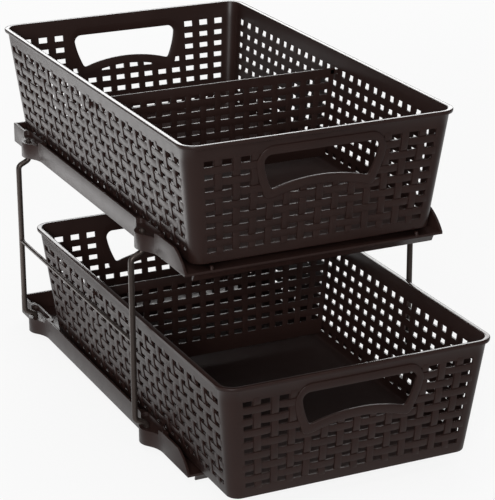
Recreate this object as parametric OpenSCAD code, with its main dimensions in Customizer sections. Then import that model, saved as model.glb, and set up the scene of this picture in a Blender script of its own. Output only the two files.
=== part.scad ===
// Two-tier pull-out cabinet basket.
// Two woven-look plastic baskets slide on two plastic trays that stand on bent wire legs.
// Millimetres. X runs across the front, Y from the front to the back, Z up.
// Z = 0 is the surface that it stands on. X = 0 and Y = 0 are the middle of the whole
// outline, with the lower basket drawn out by lower_pull.

/* [Baskets] */
// Width of a basket over its rim
basket_w = 240; // [200:1:300]
// Depth of a basket over its rim, front to back
basket_d = 422; // [340:1:520]
// Height of a basket
basket_h = 102; // [80:1:140]
// Thickness of the basket's walls
basket_wall = 1.8; // [1.4:0.1:2.6]
// Thickness of the basket's floor
basket_floor = 2; // [1.4:0.1:3]
// How far each side wall leans in from top to bottom
side_lean = 11.6; // [4:0.2:18]
// How far each end wall leans in from top to bottom
end_lean = 14; // [4:0.2:20]
// How far the rim stands out past the walls
rim_out = 2.7; // [2:0.1:5]
// Height of the rim's edge
rim_h = 3.2; // [2:0.1:6]
// Corner radius of the walls at the top
corner_r_top = 12.4; // [10:0.2:20]
// Corner radius of the walls at the bottom
corner_r_bottom = 10; // [8:0.2:16]

/* [Weave slots] */
// Width of a slot
slot_w = 8.2; // [5:0.1:9]
// Height of a slot
slot_h = 4.4; // [3:0.1:6]
// Extra height of the slots in the top row
slot_top_extra = 1; // [0:0.1:2]
// Spacing of the slot columns across the end walls
slot_pitch_end = 14.2; // [12:0.1:18]
// Spacing of the slot columns along the side walls
slot_pitch_side = 14.5; // [12:0.1:18]
// Spacing of the slot rows
slot_row_pitch = 10.5; // [8.5:0.1:14]
// Plain band from the rim's top to the middle of the top row
slot_band_top = 17.6; // [14:0.2:24]
// Plain band left below the bottom row
slot_band_bottom = 9; // [7:0.2:16]
// Plain strip between the corner curve and the outermost slots
slot_margin = 2.3; // [1.5:0.1:8]

/* [Handles] */
// Width of a hand opening along its top edge
handle_w = 101; // [80:0.5:120]
// Width of a hand opening along its bottom edge
handle_w_bottom = 84.4; // [70:0.1:100]
// Distance from the rim's top down to the opening
handle_drop = 16.4; // [13:0.2:24]
// Height of a hand opening at its two ends
handle_h = 30.3; // [22:0.1:34]
// How far the bottom edge arches up in the middle
handle_arch = 6.9; // [2:0.1:10]
// How far each side of the opening curves outwards in the middle
handle_bow = 1.9; // [0.5:0.1:4]
// Corner radius at the top of the opening
handle_corner = 5; // [2:0.2:8]
// Corner radius at the bottom of the opening
handle_foot_r = 2.4; // [1:0.2:4]
// Width of the raised frame around the opening
handle_frame = 7.5; // [4:0.2:9]
// How far that frame stands out from the wall
handle_raise = 0.8; // [0.4:0.1:1.5]

/* [Dividers] */
// Thickness of a divider
divider_t = 2; // [1.4:0.1:3]
// Depth of a divider's top edge below the rim's top
divider_drop = 14.2; // [10:0.1:30]
// Gap between a divider's bottom edge and the basket's floor
divider_lift = 6.5; // [2:0.5:20]
// Gap between a divider's ends and the side walls
divider_gap = 1.2; // [0.8:0.1:5]
// Plain band along a divider's top edge, to the middle of its first slot row
divider_band = 10.3; // [7:0.1:16]
// Spacing of a divider's slot columns
divider_pitch = 13.6; // [12:0.1:16]
// Plain strip between a divider's ends and its outermost slots
divider_margin = 4.3; // [3:0.1:18]
// Plain band left along a divider's bottom edge
divider_foot_band = 6; // [3:0.5:12]
// Slot columns by which the lower divider hangs further back than the upper one
lower_divider_back = 5; // [0:1:8]
// Height of a divider's two hooks
hook_h = 3.6; // [2:0.1:4]
// How far a hook stands out of the side wall
hook_out = 2.4; // [1.5:0.1:4]
// Length of the turned-down tip of a hook
hook_tip = 2.6; // [1:0.1:4]

/* [Trays] */
// Gap between a basket's side and the tray's side wall, at the top of that wall
tray_side_gap = 5.5; // [4.5:0.1:9]
// Height from one tray to the next, and from basket to basket
tier_pitch = 171.5; // [150:0.5:230]
// Height of a tray's walls over its underside
tray_h = 17.7; // [15:0.1:26]
// Thickness of a tray's floor and walls
tray_t = 2; // [1.6:0.1:3]
// Gap between the basket's bottom and the tray's floor
tray_float = 4.2; // [3:0.1:8]
// Gap behind a closed basket, to the tray's back wall
tray_back_gap = 2; // [1:0.1:6]
// How far the tray's floor runs out in front of a closed basket's bottom
tray_front = 3.2; // [3:0.1:12]
// Length of the sloped front end of the side walls
tray_slope = 20.5; // [12:0.5:40]
// How far the sloped edge bulges past a straight line
tray_slope_bulge = 2; // [0.5:0.1:4]
// Inset of the front apron from the sides of the tray
apron_inset = 8; // [4:0.5:20]
// Depth of the front apron below the tray's underside
apron_h = 5.4; // [3:0.1:10]
// How far back the apron leans at its lower edge
apron_lean = 3.5; // [0:0.1:6]
// Height of the pads under a tray
pad_h = 5.9; // [4:0.1:11]
// Diameter of the pads under a tray
pad_d = 16; // [8:0.5:24]
// Distance from the side and ends of the tray to a pad's middle
pad_inset = 20; // [14:0.5:40]
// Diameter of the two pegs at the front of a tray's floor
peg_d = 3; // [2:0.1:5]
// Half of the distance between the two pegs
peg_x = 91; // [60:0.5:100]
// Distance from the tray's front edge to a peg's middle
peg_y = 1.6; // [1.6:0.1:2]
// Height of a peg
peg_h = 3.2; // [1.5:0.1:3.5]
// Width of the two runners that the basket slides on
runner_w = 6; // [3:0.2:12]
// Half of the distance between the two runners
runner_x = 62; // [40:0.5:85]
// Gap between a runner and the basket's bottom
runner_gap = 0.3; // [0.2:0.05:0.6]

/* [Leg bosses] */
// How far a boss bulges out from the tray's side wall
boss_out = 9.5; // [7:0.1:14]
// Half length of a boss along the wall
boss_half = 26; // [20:0.5:36]
// Radius of the rounded nose of a boss
boss_nose = 14; // [10:0.5:16]
// Depth of a boss's top below the top of the wall
boss_drop = 4; // [2:0.1:6]
// Gap between a basket's side and the pocket wall that is set in behind a boss
pocket_gap = 1.1; // [0.6:0.1:2]
// Half length of that pocket
pocket_half = 19; // [14:0.5:24]

/* [Wire legs] */
// Diameter of the leg wire
leg_d = 5; // [4:0.1:7]
// Diameter of the rail wire
rail_d = 3.5; // [2.5:0.1:5]
// Gap between the upright part of a leg and the baskets' rims
leg_gap = 5.7; // [3:0.1:12]
// Distance of the pins out from the tray's side wall
pin_out = 3.5; // [3:0.1:5]
// Radial clearance between a pin and its hole
pin_fit = 0.05; // [0.03:0.01:0.2]
// Height of the slanted part of a leg
jog_h = 5; // [4:0.1:10]
// Radius of the wire's bends
bend_r = 5; // [4:0.1:8]
// How far a pin's tip stands out of the boss's top
pin_tip = 2.6; // [1:0.1:3.5]
// Distance of the front legs from the rim of the closed upper basket
front_leg_y = 90.5; // [70:0.5:140]
// Distance between the front and rear legs
leg_spacing = 271; // [180:0.5:320]
// Height of the side rail, measured down from the upper basket's rim
rail_drop = 188.5; // [150:0.5:215]

/* [Pose as modelled] */
// How far the lower basket is drawn out
lower_pull = 67.5; // [0:0.5:130]

/* [Hidden] */
$fn = 48;

plastic = "#2b2120";
bronze = "#3a2c26";
eps = 0.01;
cut = 4;               // how far a cutter runs past what it cuts
hull_fn = 32;
fan_cols = 3;          // outer columns that spread to follow the leaning corners

// Heights
total_h = basket_h + tray_float + tray_t + pad_h + tier_pitch;
upper_rim_z = total_h;
lower_rim_z = total_h - tier_pitch;

// Front-to-back places, from the front edge of the closed basket's rim
mid_y = (basket_d - lower_pull) / 2;      // middle of the whole outline
upper_front = -mid_y;                     // rim front of the closed basket
wall_half_w = basket_w / 2 - rim_out;
wall_half_d = basket_d / 2 - rim_out;
foot_half_w = wall_half_w - side_lean;
foot_half_d = wall_half_d - end_lean;

// Slanted lengths of the walls
side_slant = norm([side_lean, basket_h]);
end_slant = norm([end_lean, basket_h]);
side_angle = atan(side_lean / basket_h);
end_angle = atan(end_lean / basket_h);

// Weave layout
function rows_in(face) = floor((face - slot_band_top - slot_band_bottom - slot_h / 2)
    / slot_row_pitch) + 1;
function row_s(row) = -slot_band_top - row * slot_row_pitch;
end_rows = rows_in(end_slant);
side_rows = rows_in(side_slant);
end_flat_top = wall_half_w - corner_r_top;
end_flat_foot = foot_half_w - corner_r_bottom;
side_flat_top = wall_half_d - corner_r_top;
side_flat_foot = foot_half_d - corner_r_bottom;
// Half of the flat face at a distance s below the rim's top, measured along the slope
function flat_at(top, foot, slant, s) = top + (foot - top) * (-s / slant);
function cols_in(top, foot, pitch) = 2 * round(((top + foot) / 2 - slot_margin - slot_w / 2)
    / pitch + 0.5);
end_cols = cols_in(end_flat_top, end_flat_foot, slot_pitch_end);
side_cols = cols_in(side_flat_top, side_flat_foot, slot_pitch_side);
// Place of a column: regular in the middle, and spread over the outer fan_cols columns
function fan_share(rank, last) = max(0, (rank - (last - fan_cols)) / fan_cols);
function col_x(col, cols, pitch, edge) =
    let(reg = (col - (cols - 1) / 2) * pitch,
        last = cols / 2 - 1,
        rank = abs(col - (cols - 1) / 2) - 0.5,
        spread = edge - slot_margin - slot_w / 2 - (last + 0.5) * pitch)
    reg + sign(reg) * spread * fan_share(rank, last);

// Divider: it hangs in slot column tab_col, or a number of columns further back
tab_col = side_cols / 2 - 1;
function divider_y(back) = (tab_col + back - (side_cols - 1) / 2) * slot_pitch_side;
divider_top = -divider_drop;
divider_foot = -basket_h + basket_floor + divider_lift;
// Inner half width of the basket at a height z below its rim's top
function inner_half(z) = wall_half_w - basket_wall - side_lean * (-z / basket_h);
divider_half_top = inner_half(divider_top) - divider_gap;
divider_half_foot = inner_half(divider_foot) - divider_gap;
divider_cols = cols_in(divider_half_top - divider_margin + slot_margin,
    divider_half_foot - divider_margin + slot_margin, divider_pitch);
divider_rows = floor((divider_top - divider_foot - divider_band - slot_h / 2
    - divider_foot_band) / slot_row_pitch) + 1;
hook_play = 0.3;               // gap between a hook and the lower edge of its slot
hook_t = 1.6;                  // thickness of a hook's turned-down tip
hook_root = 4;                 // how far a hook runs into the divider's plate
hook_z = row_s(0) * cos(side_angle) - (slot_h - hook_h) / 2 + hook_play;

// Tray
tray_floor_z = -basket_h - tray_float;        // top of the floor, below the rim
tray_under_z = tray_floor_z - tray_t;
tray_top_z = tray_under_z + tray_h;
tray_front_y = basket_d / 2 - foot_half_d - tray_front;   // from the rim's front
// Half width and half depth of a basket at the height of the tray's top
basket_at_top_w = foot_half_w + side_lean * (tray_top_z + basket_h) / basket_h;
basket_at_top_d = foot_half_d + end_lean * (tray_top_z + basket_h) / basket_h;
tray_half = basket_at_top_w + tray_side_gap + tray_t;
tray_w = 2 * tray_half;
tray_back_y = basket_d / 2 + basket_at_top_d + tray_back_gap + tray_t;
pocket_wall = 0.8 * tray_t;
pocket_in = tray_half - pocket_wall - pocket_gap - basket_at_top_w;
boss_top_z = tray_top_z - boss_drop;
runner_h = tray_float - runner_gap;
runner_end_gap = 14;
boss_root = 3;                 // how far a boss runs in past the tray's side wall
pocket_r = 3;                  // corner radius of a pocket

// Legs
pin_x = tray_half + pin_out;
leg_x = basket_w / 2 + leg_gap + leg_d / 2;
leg_jog = leg_x - pin_x;                  // sideways step of a leg at each end
rear_leg_y = front_leg_y + leg_spacing;
jog_angle = atan(leg_jog / jog_h);
bend_len = bend_r * tan(jog_angle / 2);
bend_swell = 0.03;                // extra radius of the wire in a bend
bend_lap = 0.2;                   // how far a straight run reaches into a bend
seat = 0.2;                       // gap between a bend and the boss that it carries
upper_pin_z = tray_under_z - seat - bend_len;            // where the slanted part starts
lower_pin_z = boss_top_z - tier_pitch + seat + bend_len;
pin_lift = 1.5;                   // height of a lower pin's end over its boss's underside
pin_foot_z = tray_under_z - tier_pitch + pin_lift;
pin_top_z = boss_top_z + pin_tip;

// ---------- shapes ----------

// Rounded rectangle about the origin
module rounded_rect(half_x, half_y, r) {
    square([2 * half_x, 2 * (half_y - r)], center = true);
    square([2 * (half_x - r), 2 * half_y], center = true);
    for (sx = [-1, 1], sy = [-1, 1])
        translate([sx * (half_x - r), sy * (half_y - r)]) circle(r);
}

// Tapered box with round corners, from its foot at z0 up to z1
module tapered_box(half_x1, half_y1, r1, z1, half_x0, half_y0, r0, z0) {
    hull() {
        for (sx = [-1, 1], sy = [-1, 1]) {
            translate([sx * (half_x1 - r1), sy * (half_y1 - r1), z1 - eps])
                cylinder(r = r1, h = eps, $fn = hull_fn);
            translate([sx * (half_x0 - r0), sy * (half_y0 - r0), z0])
                cylinder(r = r0, h = eps, $fn = hull_fn);
        }
    }
}

// Points of an arc about c, from angle a0 to a1
function arc(c, r, a0, a1, n) =
    [for (i = [0 : n]) let(a = a0 + (a1 - a0) * i / n) c + r * [cos(a), sin(a)]];

// Arc that rounds the corner b between a and c
function rounded_corner(a, b, c, r, n) =
    let(u = (a - b) / norm(a - b), v = (c - b) / norm(c - b),
        half = acos(u * v) / 2,
        m = (u + v) / norm(u + v),
        centre = b + m * r / sin(half),
        p = b + u * r / tan(half), q = b + v * r / tan(half),
        ap = atan2(p[1] - centre[1], p[0] - centre[0]),
        aq = atan2(q[1] - centre[1], q[0] - centre[0]),
        turn = ((aq - ap + 540) % 360) - 180)
    arc(centre, r, ap, ap + turn, n);

// Outline of a hand opening grown by g, in the plane of the wall (y = 0 at the rim's top)
arch_r = (pow(handle_w_bottom / 2, 2) + pow(handle_arch, 2)) / (2 * handle_arch);
arch_c = [0, -handle_drop - handle_h + handle_arch - arch_r];
frame_foot_r = handle_foot_r + handle_frame / 2;
function handle_outline(g, foot_r) =
    let(top = -handle_drop + g,
        half_top = handle_w / 2 + g,
        half_foot = handle_w_bottom / 2 + g * 0.75,
        ra = arch_r - g,
        edge = asin(half_foot / ra),
        tr = [half_top, top], tl = [-half_top, top],
        br = arch_c + ra * [sin(edge), cos(edge)],
        bl = [-br[0], br[1]],
        tangent = [-cos(edge), sin(edge)] * 20,
        inner = edge - 1.3 * foot_r / ra * 57.3,
        corner_right = rounded_corner(br, tr, tl, handle_corner + g, 8),
        corner_left = rounded_corner(tr, tl, bl, handle_corner + g, 8),
        foot_left = rounded_corner(tl, bl, bl + [-tangent[0], tangent[1]], foot_r, 5),
        foot_right = rounded_corner(br + tangent, br, tr, foot_r, 5))
    [for (p = concat(corner_right, corner_left, between(corner_left[8], foot_left[0], 9),
            foot_left, arc(arch_c, ra, 90 + inner, 90 - inner, 16), foot_right,
            between(foot_right[5], corner_right[0], 9)))
        [p[0] * (1 + handle_bowed(p[1]) / (handle_w / 2)), p[1]]];

// How far a side of the opening curves outwards at a height
function handle_bowed(s) =
    let(share = min(1, max(0, (-handle_drop - s) / handle_h)))
    handle_bow * 4 * share * (1 - share);

// Points inside the straight line from a to b, which cut it into n equal parts
function between(a, b, n) = [for (i = [1 : n - 1]) a + (b - a) * i / n];

// Slots of one wall, in the plane of the wall
module slot_pattern(cols, rows, pitch, top, foot, slant) {
    for (row = [0 : rows - 1])
        for (col = [0 : cols - 1])
            let(s = row_s(row),
                extra = row == 0 ? slot_top_extra : 0,
                x = col_x(col, cols, pitch, flat_at(top, foot, slant, s)))
            translate([x - slot_w / 2, s - slot_h / 2])
                square([slot_w, slot_h + extra]);
}

module side_slots() {
    slot_pattern(side_cols, side_rows, slot_pitch_side, side_flat_top, side_flat_foot, side_slant);
}

module end_slots() {
    difference() {
        slot_pattern(end_cols, end_rows, slot_pitch_end, end_flat_top, end_flat_foot, end_slant);
        polygon(handle_outline(handle_frame, frame_foot_r));
        plain_zone();
    }
    polygon(handle_outline(0, handle_foot_r));
}

// Part of an end wall beside the hand opening that is left without narrow cut slots
module plain_zone() {
    half = handle_w / 2 + handle_frame;
    foot = handle_drop + handle_h - slot_h / 2;
    translate([-half, -foot]) square([2 * half, foot]);
}

// Stands a flat drawing on the outer face of an end wall (front wall, seen from outside)
module on_end_wall() {
    translate([0, -wall_half_d, 0]) rotate([90 + end_angle, 0, 0]) children();
}

// The same for a side wall (right-hand wall, seen from outside)
module on_side_wall() {
    rotate(90) translate([0, -wall_half_w, 0]) rotate([90 + side_angle, 0, 0]) children();
}

// ---------- basket ----------

// Basket about its own middle, with its rim's top at z = 0
module basket() {
    color(plastic) {
        difference() {
            union() {
                tapered_box(wall_half_w, wall_half_d, corner_r_top, 0,
                    foot_half_w, foot_half_d, corner_r_bottom, -basket_h);
                translate([0, 0, -rim_h]) linear_extrude(rim_h)
                    rounded_rect(basket_w / 2, basket_d / 2, corner_r_top + rim_out);
                for (turn = [0, 180])
                    rotate(turn) on_end_wall()
                        translate([0, 0, -basket_wall / 2])
                            linear_extrude(basket_wall / 2 + handle_raise)
                                polygon(handle_outline(handle_frame, frame_foot_r));
            }
            tapered_box(
                wall_half_w - basket_wall + side_lean * cut / basket_h,
                wall_half_d - basket_wall + end_lean * cut / basket_h,
                corner_r_top - basket_wall, cut,
                foot_half_w - basket_wall + side_lean * basket_floor / basket_h,
                foot_half_d - basket_wall + end_lean * basket_floor / basket_h,
                corner_r_bottom - basket_wall, -basket_h + basket_floor);
            for (turn = [0, 180]) {
                rotate(turn) on_end_wall()
                    translate([0, 0, -cut]) linear_extrude(2 * cut) end_slots();
                rotate(turn) on_side_wall()
                    translate([0, 0, -cut]) linear_extrude(2 * cut) side_slots();
            }
        }
    }
}

// Places a basket and what is in it
module at_tier(rim_z, pulled) {
    translate([0, upper_front - pulled + basket_d / 2, rim_z]) children();
}

// ---------- divider ----------

// Divider that hangs back columns behind the middle of its basket
module divider(back) {
    color(plastic) translate([0, divider_y(back), 0]) {
        translate([0, divider_t / 2, 0]) rotate([90, 0, 0]) linear_extrude(divider_t)
            difference() {
                polygon([[-divider_half_top, divider_top], [divider_half_top, divider_top],
                    [divider_half_foot, divider_foot], [-divider_half_foot, divider_foot]]);
                for (row = [0 : divider_rows - 1])
                    for (col = [0 : divider_cols - 1])
                        let(z = divider_top - divider_band - row * slot_row_pitch,
                            edge = inner_half(z) - divider_gap - divider_margin + slot_margin,
                            x = col_x(col, divider_cols, divider_pitch, edge))
                        translate([x - slot_w / 2, z - slot_h / 2])
                            square([slot_w, slot_h]);
            }
        for (side = [-1, 1]) divider_hook(side);
    }
}

// Hook that passes through a slot of the side wall and turns down outside it
module divider_hook(side) {
    reach = wall_half_w - side_lean * (-hook_z / basket_h) + hook_out;
    root = divider_half_top - hook_root;
    mirror([side < 0 ? 1 : 0, 0, 0]) {
        translate([root, -divider_t / 2, hook_z - hook_h / 2])
            cube([reach - root, divider_t, hook_h]);
        translate([reach - hook_t, -divider_t / 2, hook_z - hook_h / 2 - hook_tip])
            cube([hook_t, divider_t, hook_tip + hook_h]);
    }
}

// ---------- tray ----------

// Side view of a side wall: y along, z up, with its sloped front end
module wall_profile() {
    foot = [tray_front_y, tray_under_z];
    tip = [tray_front_y, tray_floor_z];
    top = [tray_front_y + tray_slope, tray_top_z];
    chord = norm(top - tip);
    r = (pow(chord / 2, 2) + pow(tray_slope_bulge, 2)) / (2 * tray_slope_bulge);
    along = (top - tip) / chord;
    out = [-along[1], along[0]];
    centre = (top + tip) / 2 - out * (r - tray_slope_bulge);
    a0 = atan2(tip[1] - centre[1], tip[0] - centre[0]);
    a1 = atan2(top[1] - centre[1], top[0] - centre[0]);
    polygon(concat([foot], arc(centre, r, a0, a0 + ((a1 - a0 + 540) % 360) - 180, 12),
        [[tray_back_y, tray_top_z], [tray_back_y, tray_under_z]]));
}

// Plan of a boss on the right-hand wall, with the wall's outer face at x = 0
module boss_plan() {
    // The nose is an arc that flows into a hollow arc on each side
    sum_r = (pow(boss_half, 2) + pow(boss_out, 2)) / (2 * boss_out);
    hollow = sum_r - boss_nose;
    nose_c = [boss_out - boss_nose, 0];
    hollow_c = [hollow, boss_half];
    lean = atan2(hollow_c[1], hollow_c[0] - nose_c[0]);
    right = arc(hollow_c, hollow, 180, 180 + lean, 10);
    nose = arc(nose_c, boss_nose, lean, -lean, 12);
    left = [for (i = [10 : -1 : 0]) [right[i][0], -right[i][1]]];
    root = -tray_t - boss_root;
    polygon(concat([[root, boss_half]], right, nose, left, [[root, -boss_half]]));
}

// Plan of the pocket, cut into the right-hand wall above the boss
module pocket_plan(g) {
    rounded = pocket_in - pocket_r;
    polygon(concat(
        [[boss_out + cut, -pocket_half - g], [0, -pocket_half - g]],
        arc([-rounded, -pocket_half + pocket_r], pocket_r + g, 270, 180, 6),
        arc([-rounded, pocket_half - pocket_r], pocket_r + g, 180, 90, 6),
        [[0, pocket_half + g], [boss_out + cut, pocket_half + g]]));
}

// Tray with its heights measured from the top of its basket's rim, and its length from
// the front edge of the closed basket's rim
module tray() {
    color(plastic) difference() {
        union() {
            // floor
            translate([-tray_half, tray_front_y, tray_under_z])
                cube([tray_w, tray_back_y - tray_front_y, tray_t]);
            // side walls
            for (side = [-1, 1])
                translate([side * (tray_half - tray_t / 2) - tray_t / 2, 0, 0])
                    rotate([90, 0, 90]) linear_extrude(tray_t) wall_profile();
            // back wall
            translate([-tray_half, tray_back_y - tray_t, tray_under_z])
                cube([tray_w, tray_t, tray_h]);
            // front apron
            translate([-tray_half + apron_inset, 0, 0]) rotate([90, 0, 90])
                linear_extrude(tray_w - 2 * apron_inset)
                    polygon([[tray_front_y, tray_floor_z - eps],
                        [tray_front_y, tray_under_z + tray_t / 3],
                        [tray_front_y + apron_lean, tray_under_z - apron_h],
                        [tray_front_y + apron_lean + tray_t, tray_under_z - apron_h],
                        [tray_front_y + 1.5 * tray_t, tray_floor_z - eps]]);
            // runners and pegs
            for (side = [-1, 1]) {
                translate([side * runner_x - runner_w / 2, tray_front_y + runner_end_gap,
                    tray_floor_z - tray_t / 2])
                    cube([runner_w, tray_back_y - tray_front_y - 2 * runner_end_gap,
                        runner_h + tray_t / 2]);
                translate([side * peg_x, tray_front_y + peg_y, tray_floor_z - tray_t / 2])
                    cylinder(d = peg_d, h = peg_h + tray_t / 2, $fn = 24);
                for (y = [tray_front_y + pad_inset, tray_back_y - pad_inset])
                    translate([side * (tray_half - pad_inset), y, tray_under_z - pad_h])
                        cylinder(d = pad_d, h = pad_h + tray_t / 2);
            }
            // bosses
            for (side = [0, 1], y = [front_leg_y, rear_leg_y])
                mirror([side, 0, 0]) translate([tray_half, y, tray_under_z])
                    linear_extrude(tray_h) boss_and_pocket_wall();
        }
        for (side = [0, 1], y = [front_leg_y, rear_leg_y])
            mirror([side, 0, 0]) {
                translate([tray_half, y, boss_top_z]) linear_extrude(boss_drop + cut)
                    pocket_plan(0);
                translate([pin_x, y, tray_under_z - cut])
                    cylinder(d = leg_d + 2 * pin_fit, h = tray_h + 2 * cut);
            }
    }
}

// Boss with the wall that runs in around its pocket
module boss_and_pocket_wall() {
    boss_plan();
    intersection() {
        pocket_plan(pocket_wall);
        translate([-tray_half, -tray_half]) square([tray_half, tray_w]);
    }
}

// Moves a tray from its basket's rim down to its own tier
module tray_at(rim_z) {
    translate([0, upper_front, rim_z]) tray();
}

// ---------- wires ----------

// Straight wire between two points of the XZ plane, run on a little way into its bends
module wire_run(a, b, d) {
    way = b - a;
    translate([a[0], 0, a[1]]) rotate([0, atan2(way[0], way[1]), 0])
        translate([0, 0, -bend_lap]) cylinder(d = d, h = norm(way) + 2 * bend_lap);
}

// Bent wire in the XZ plane: the arc about c that starts at angle a0 and turns by sweep
module wire_bend(c, a0, sweep, d) {
    translate([c[0], 0, c[1]]) rotate([90, 0, 0]) rotate(a0)
        rotate_extrude(angle = sweep) translate([bend_r, 0]) circle(d = d + 2 * bend_swell);
}

// Pin that stands up from a bend, with a domed tip
module pin_up(z0, z1) {
    r = leg_d / 2;
    dome = leg_d * 0.35;
    ball = (r * r + dome * dome) / (2 * dome);
    edge = asin(r / ball);
    translate([pin_x, 0, z0 - bend_lap]) rotate_extrude()
        polygon(concat([[0, 0], [r, 0]],
            [for (i = [0 : 6]) let(a = edge * (1 - i / 6)) [ball * sin(a),
                z1 - z0 + bend_lap - ball + ball * cos(a)]]));
}

// Right-hand leg, with heights measured from the upper rim
module leg() {
    pin_hi = [pin_x, upper_pin_z];
    out_hi = [leg_x, upper_pin_z - jog_h];
    out_lo = [leg_x, lower_pin_z + jog_h];
    pin_lo = [pin_x, lower_pin_z];
    outward = [sin(jog_angle), -cos(jog_angle)];
    inward = [-sin(jog_angle), -cos(jog_angle)];
    color(bronze) {
        pin_up(upper_pin_z + bend_len, pin_top_z);
        wire_bend([pin_x + bend_r, upper_pin_z + bend_len], 180, jog_angle, leg_d);
        wire_run(pin_hi + outward * bend_len, out_hi - outward * bend_len, leg_d);
        wire_bend([leg_x - bend_r, out_hi[1] - bend_len], 0, jog_angle, leg_d);
        // upright
        wire_run([leg_x, out_lo[1] + bend_len], [leg_x, out_hi[1] - bend_len], leg_d);
        wire_bend([leg_x - bend_r, out_lo[1] + bend_len], -jog_angle, jog_angle, leg_d);
        wire_run(out_lo + inward * bend_len, pin_lo - inward * bend_len, leg_d);
        wire_bend([pin_x + bend_r, lower_pin_z - bend_len], 180 - jog_angle, jog_angle, leg_d);
        // pin in the lower boss
        wire_run([pin_x, pin_foot_z], [pin_x, lower_pin_z - bend_len], leg_d);
    }
}

module leg_at(side, y) {
    mirror([side < 0 ? 1 : 0, 0, 0]) translate([0, upper_front + y, upper_rim_z]) leg();
}

// Rail between the two legs of one side, cut to sit against them
module rail_at(side) {
    color(bronze) mirror([side < 0 ? 1 : 0, 0, 0])
        translate([leg_x, upper_front + front_leg_y, upper_rim_z - rail_drop]) difference() {
            rotate([-90, 0, 0]) cylinder(d = rail_d, h = leg_spacing);
            for (y = [0, leg_spacing])
                translate([0, y, -rail_d]) cylinder(d = leg_d + 2 * pin_fit, h = 2 * rail_d);
        }
}

// ---------- nodes ----------

module upper_tray() { tray_at(upper_rim_z); }
module lower_tray() { tray_at(lower_rim_z); }
module upper_basket() { at_tier(upper_rim_z, 0) basket(); }
module lower_basket() { at_tier(lower_rim_z, lower_pull) basket(); }
module upper_divider() { at_tier(upper_rim_z, 0) divider(0); }
module lower_divider() { at_tier(lower_rim_z, lower_pull) divider(lower_divider_back); }
module left_front_leg() { leg_at(-1, front_leg_y); }
module left_rear_leg() { leg_at(-1, rear_leg_y); }
module right_front_leg() { leg_at(1, front_leg_y); }
module right_rear_leg() { leg_at(1, rear_leg_y); }
module left_side_rail() { rail_at(-1); }
module right_side_rail() { rail_at(1); }

upper_tray();
lower_tray();
upper_basket();
lower_basket();
upper_divider();
lower_divider();
left_front_leg();
left_rear_leg();
right_front_leg();
right_rear_leg();
left_side_rail();
right_side_rail();
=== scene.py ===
"""Looks of a two-tier cabinet organizer with pull-out baskets.

The solids are loaded first and fix every size and place: X runs across the front, Y to the
back and Z up, in metres. Sizes below are in millimetres, and MM turns them into metres.
"""
import logging
import math
from dataclasses import dataclass, field
from enum import Enum

import bmesh
import bpy
import numpy as np
from mathutils import Matrix, Vector


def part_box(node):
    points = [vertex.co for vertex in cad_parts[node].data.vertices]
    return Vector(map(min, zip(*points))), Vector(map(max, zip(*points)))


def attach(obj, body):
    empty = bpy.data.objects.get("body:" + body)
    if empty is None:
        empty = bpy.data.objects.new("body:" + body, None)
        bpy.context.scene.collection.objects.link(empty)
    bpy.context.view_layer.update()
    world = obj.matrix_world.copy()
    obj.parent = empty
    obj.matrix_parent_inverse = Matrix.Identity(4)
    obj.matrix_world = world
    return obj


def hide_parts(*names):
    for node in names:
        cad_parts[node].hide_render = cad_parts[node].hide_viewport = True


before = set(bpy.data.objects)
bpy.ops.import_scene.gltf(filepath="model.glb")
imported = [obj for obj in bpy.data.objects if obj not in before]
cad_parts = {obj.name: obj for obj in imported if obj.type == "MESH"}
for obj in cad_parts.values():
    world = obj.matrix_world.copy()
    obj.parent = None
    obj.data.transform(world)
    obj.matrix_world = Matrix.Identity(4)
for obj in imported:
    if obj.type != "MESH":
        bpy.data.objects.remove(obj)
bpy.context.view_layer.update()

MM = 0.001
SMOOTH_ANGLE = math.radians(38)
WIRE_SIDES = 28
WEAR = "wear"
STRETCH = "stretch"
LOG = logging.getLogger("organizer")

Colour = tuple[float, float, float]
Stop = tuple[float, int, float]
Socket = bpy.types.NodeSocket


# ---------------------------------------------------------------- choices


class Tier(Enum):
    """The two levels of the organizer."""

    UPPER = "upper"
    LOWER = "lower"


class Side(Enum):
    """Left and right, as seen from in front, with the sign of X."""

    LEFT = -1
    RIGHT = 1


class End(Enum):
    """Front and rear of the stand, with the sign of Y on the way inwards from there."""

    FRONT = 1
    REAR = -1


class Wall(Enum):
    """The four walls of a basket, with the angle that turns the front wall into each."""

    FRONT = 0
    RIGHT = 90
    BACK = 180
    LEFT = 270

    @property
    def is_end(self) -> bool:
        """True for the front and back walls."""
        return self in (Wall.FRONT, Wall.BACK)


class Run(Enum):
    """Direction of a woven strip: its phase is what makes it dip where the other rises."""

    ACROSS = 1
    UPRIGHT = 0


# ---------------------------------------------------------------- mesh helpers


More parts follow.
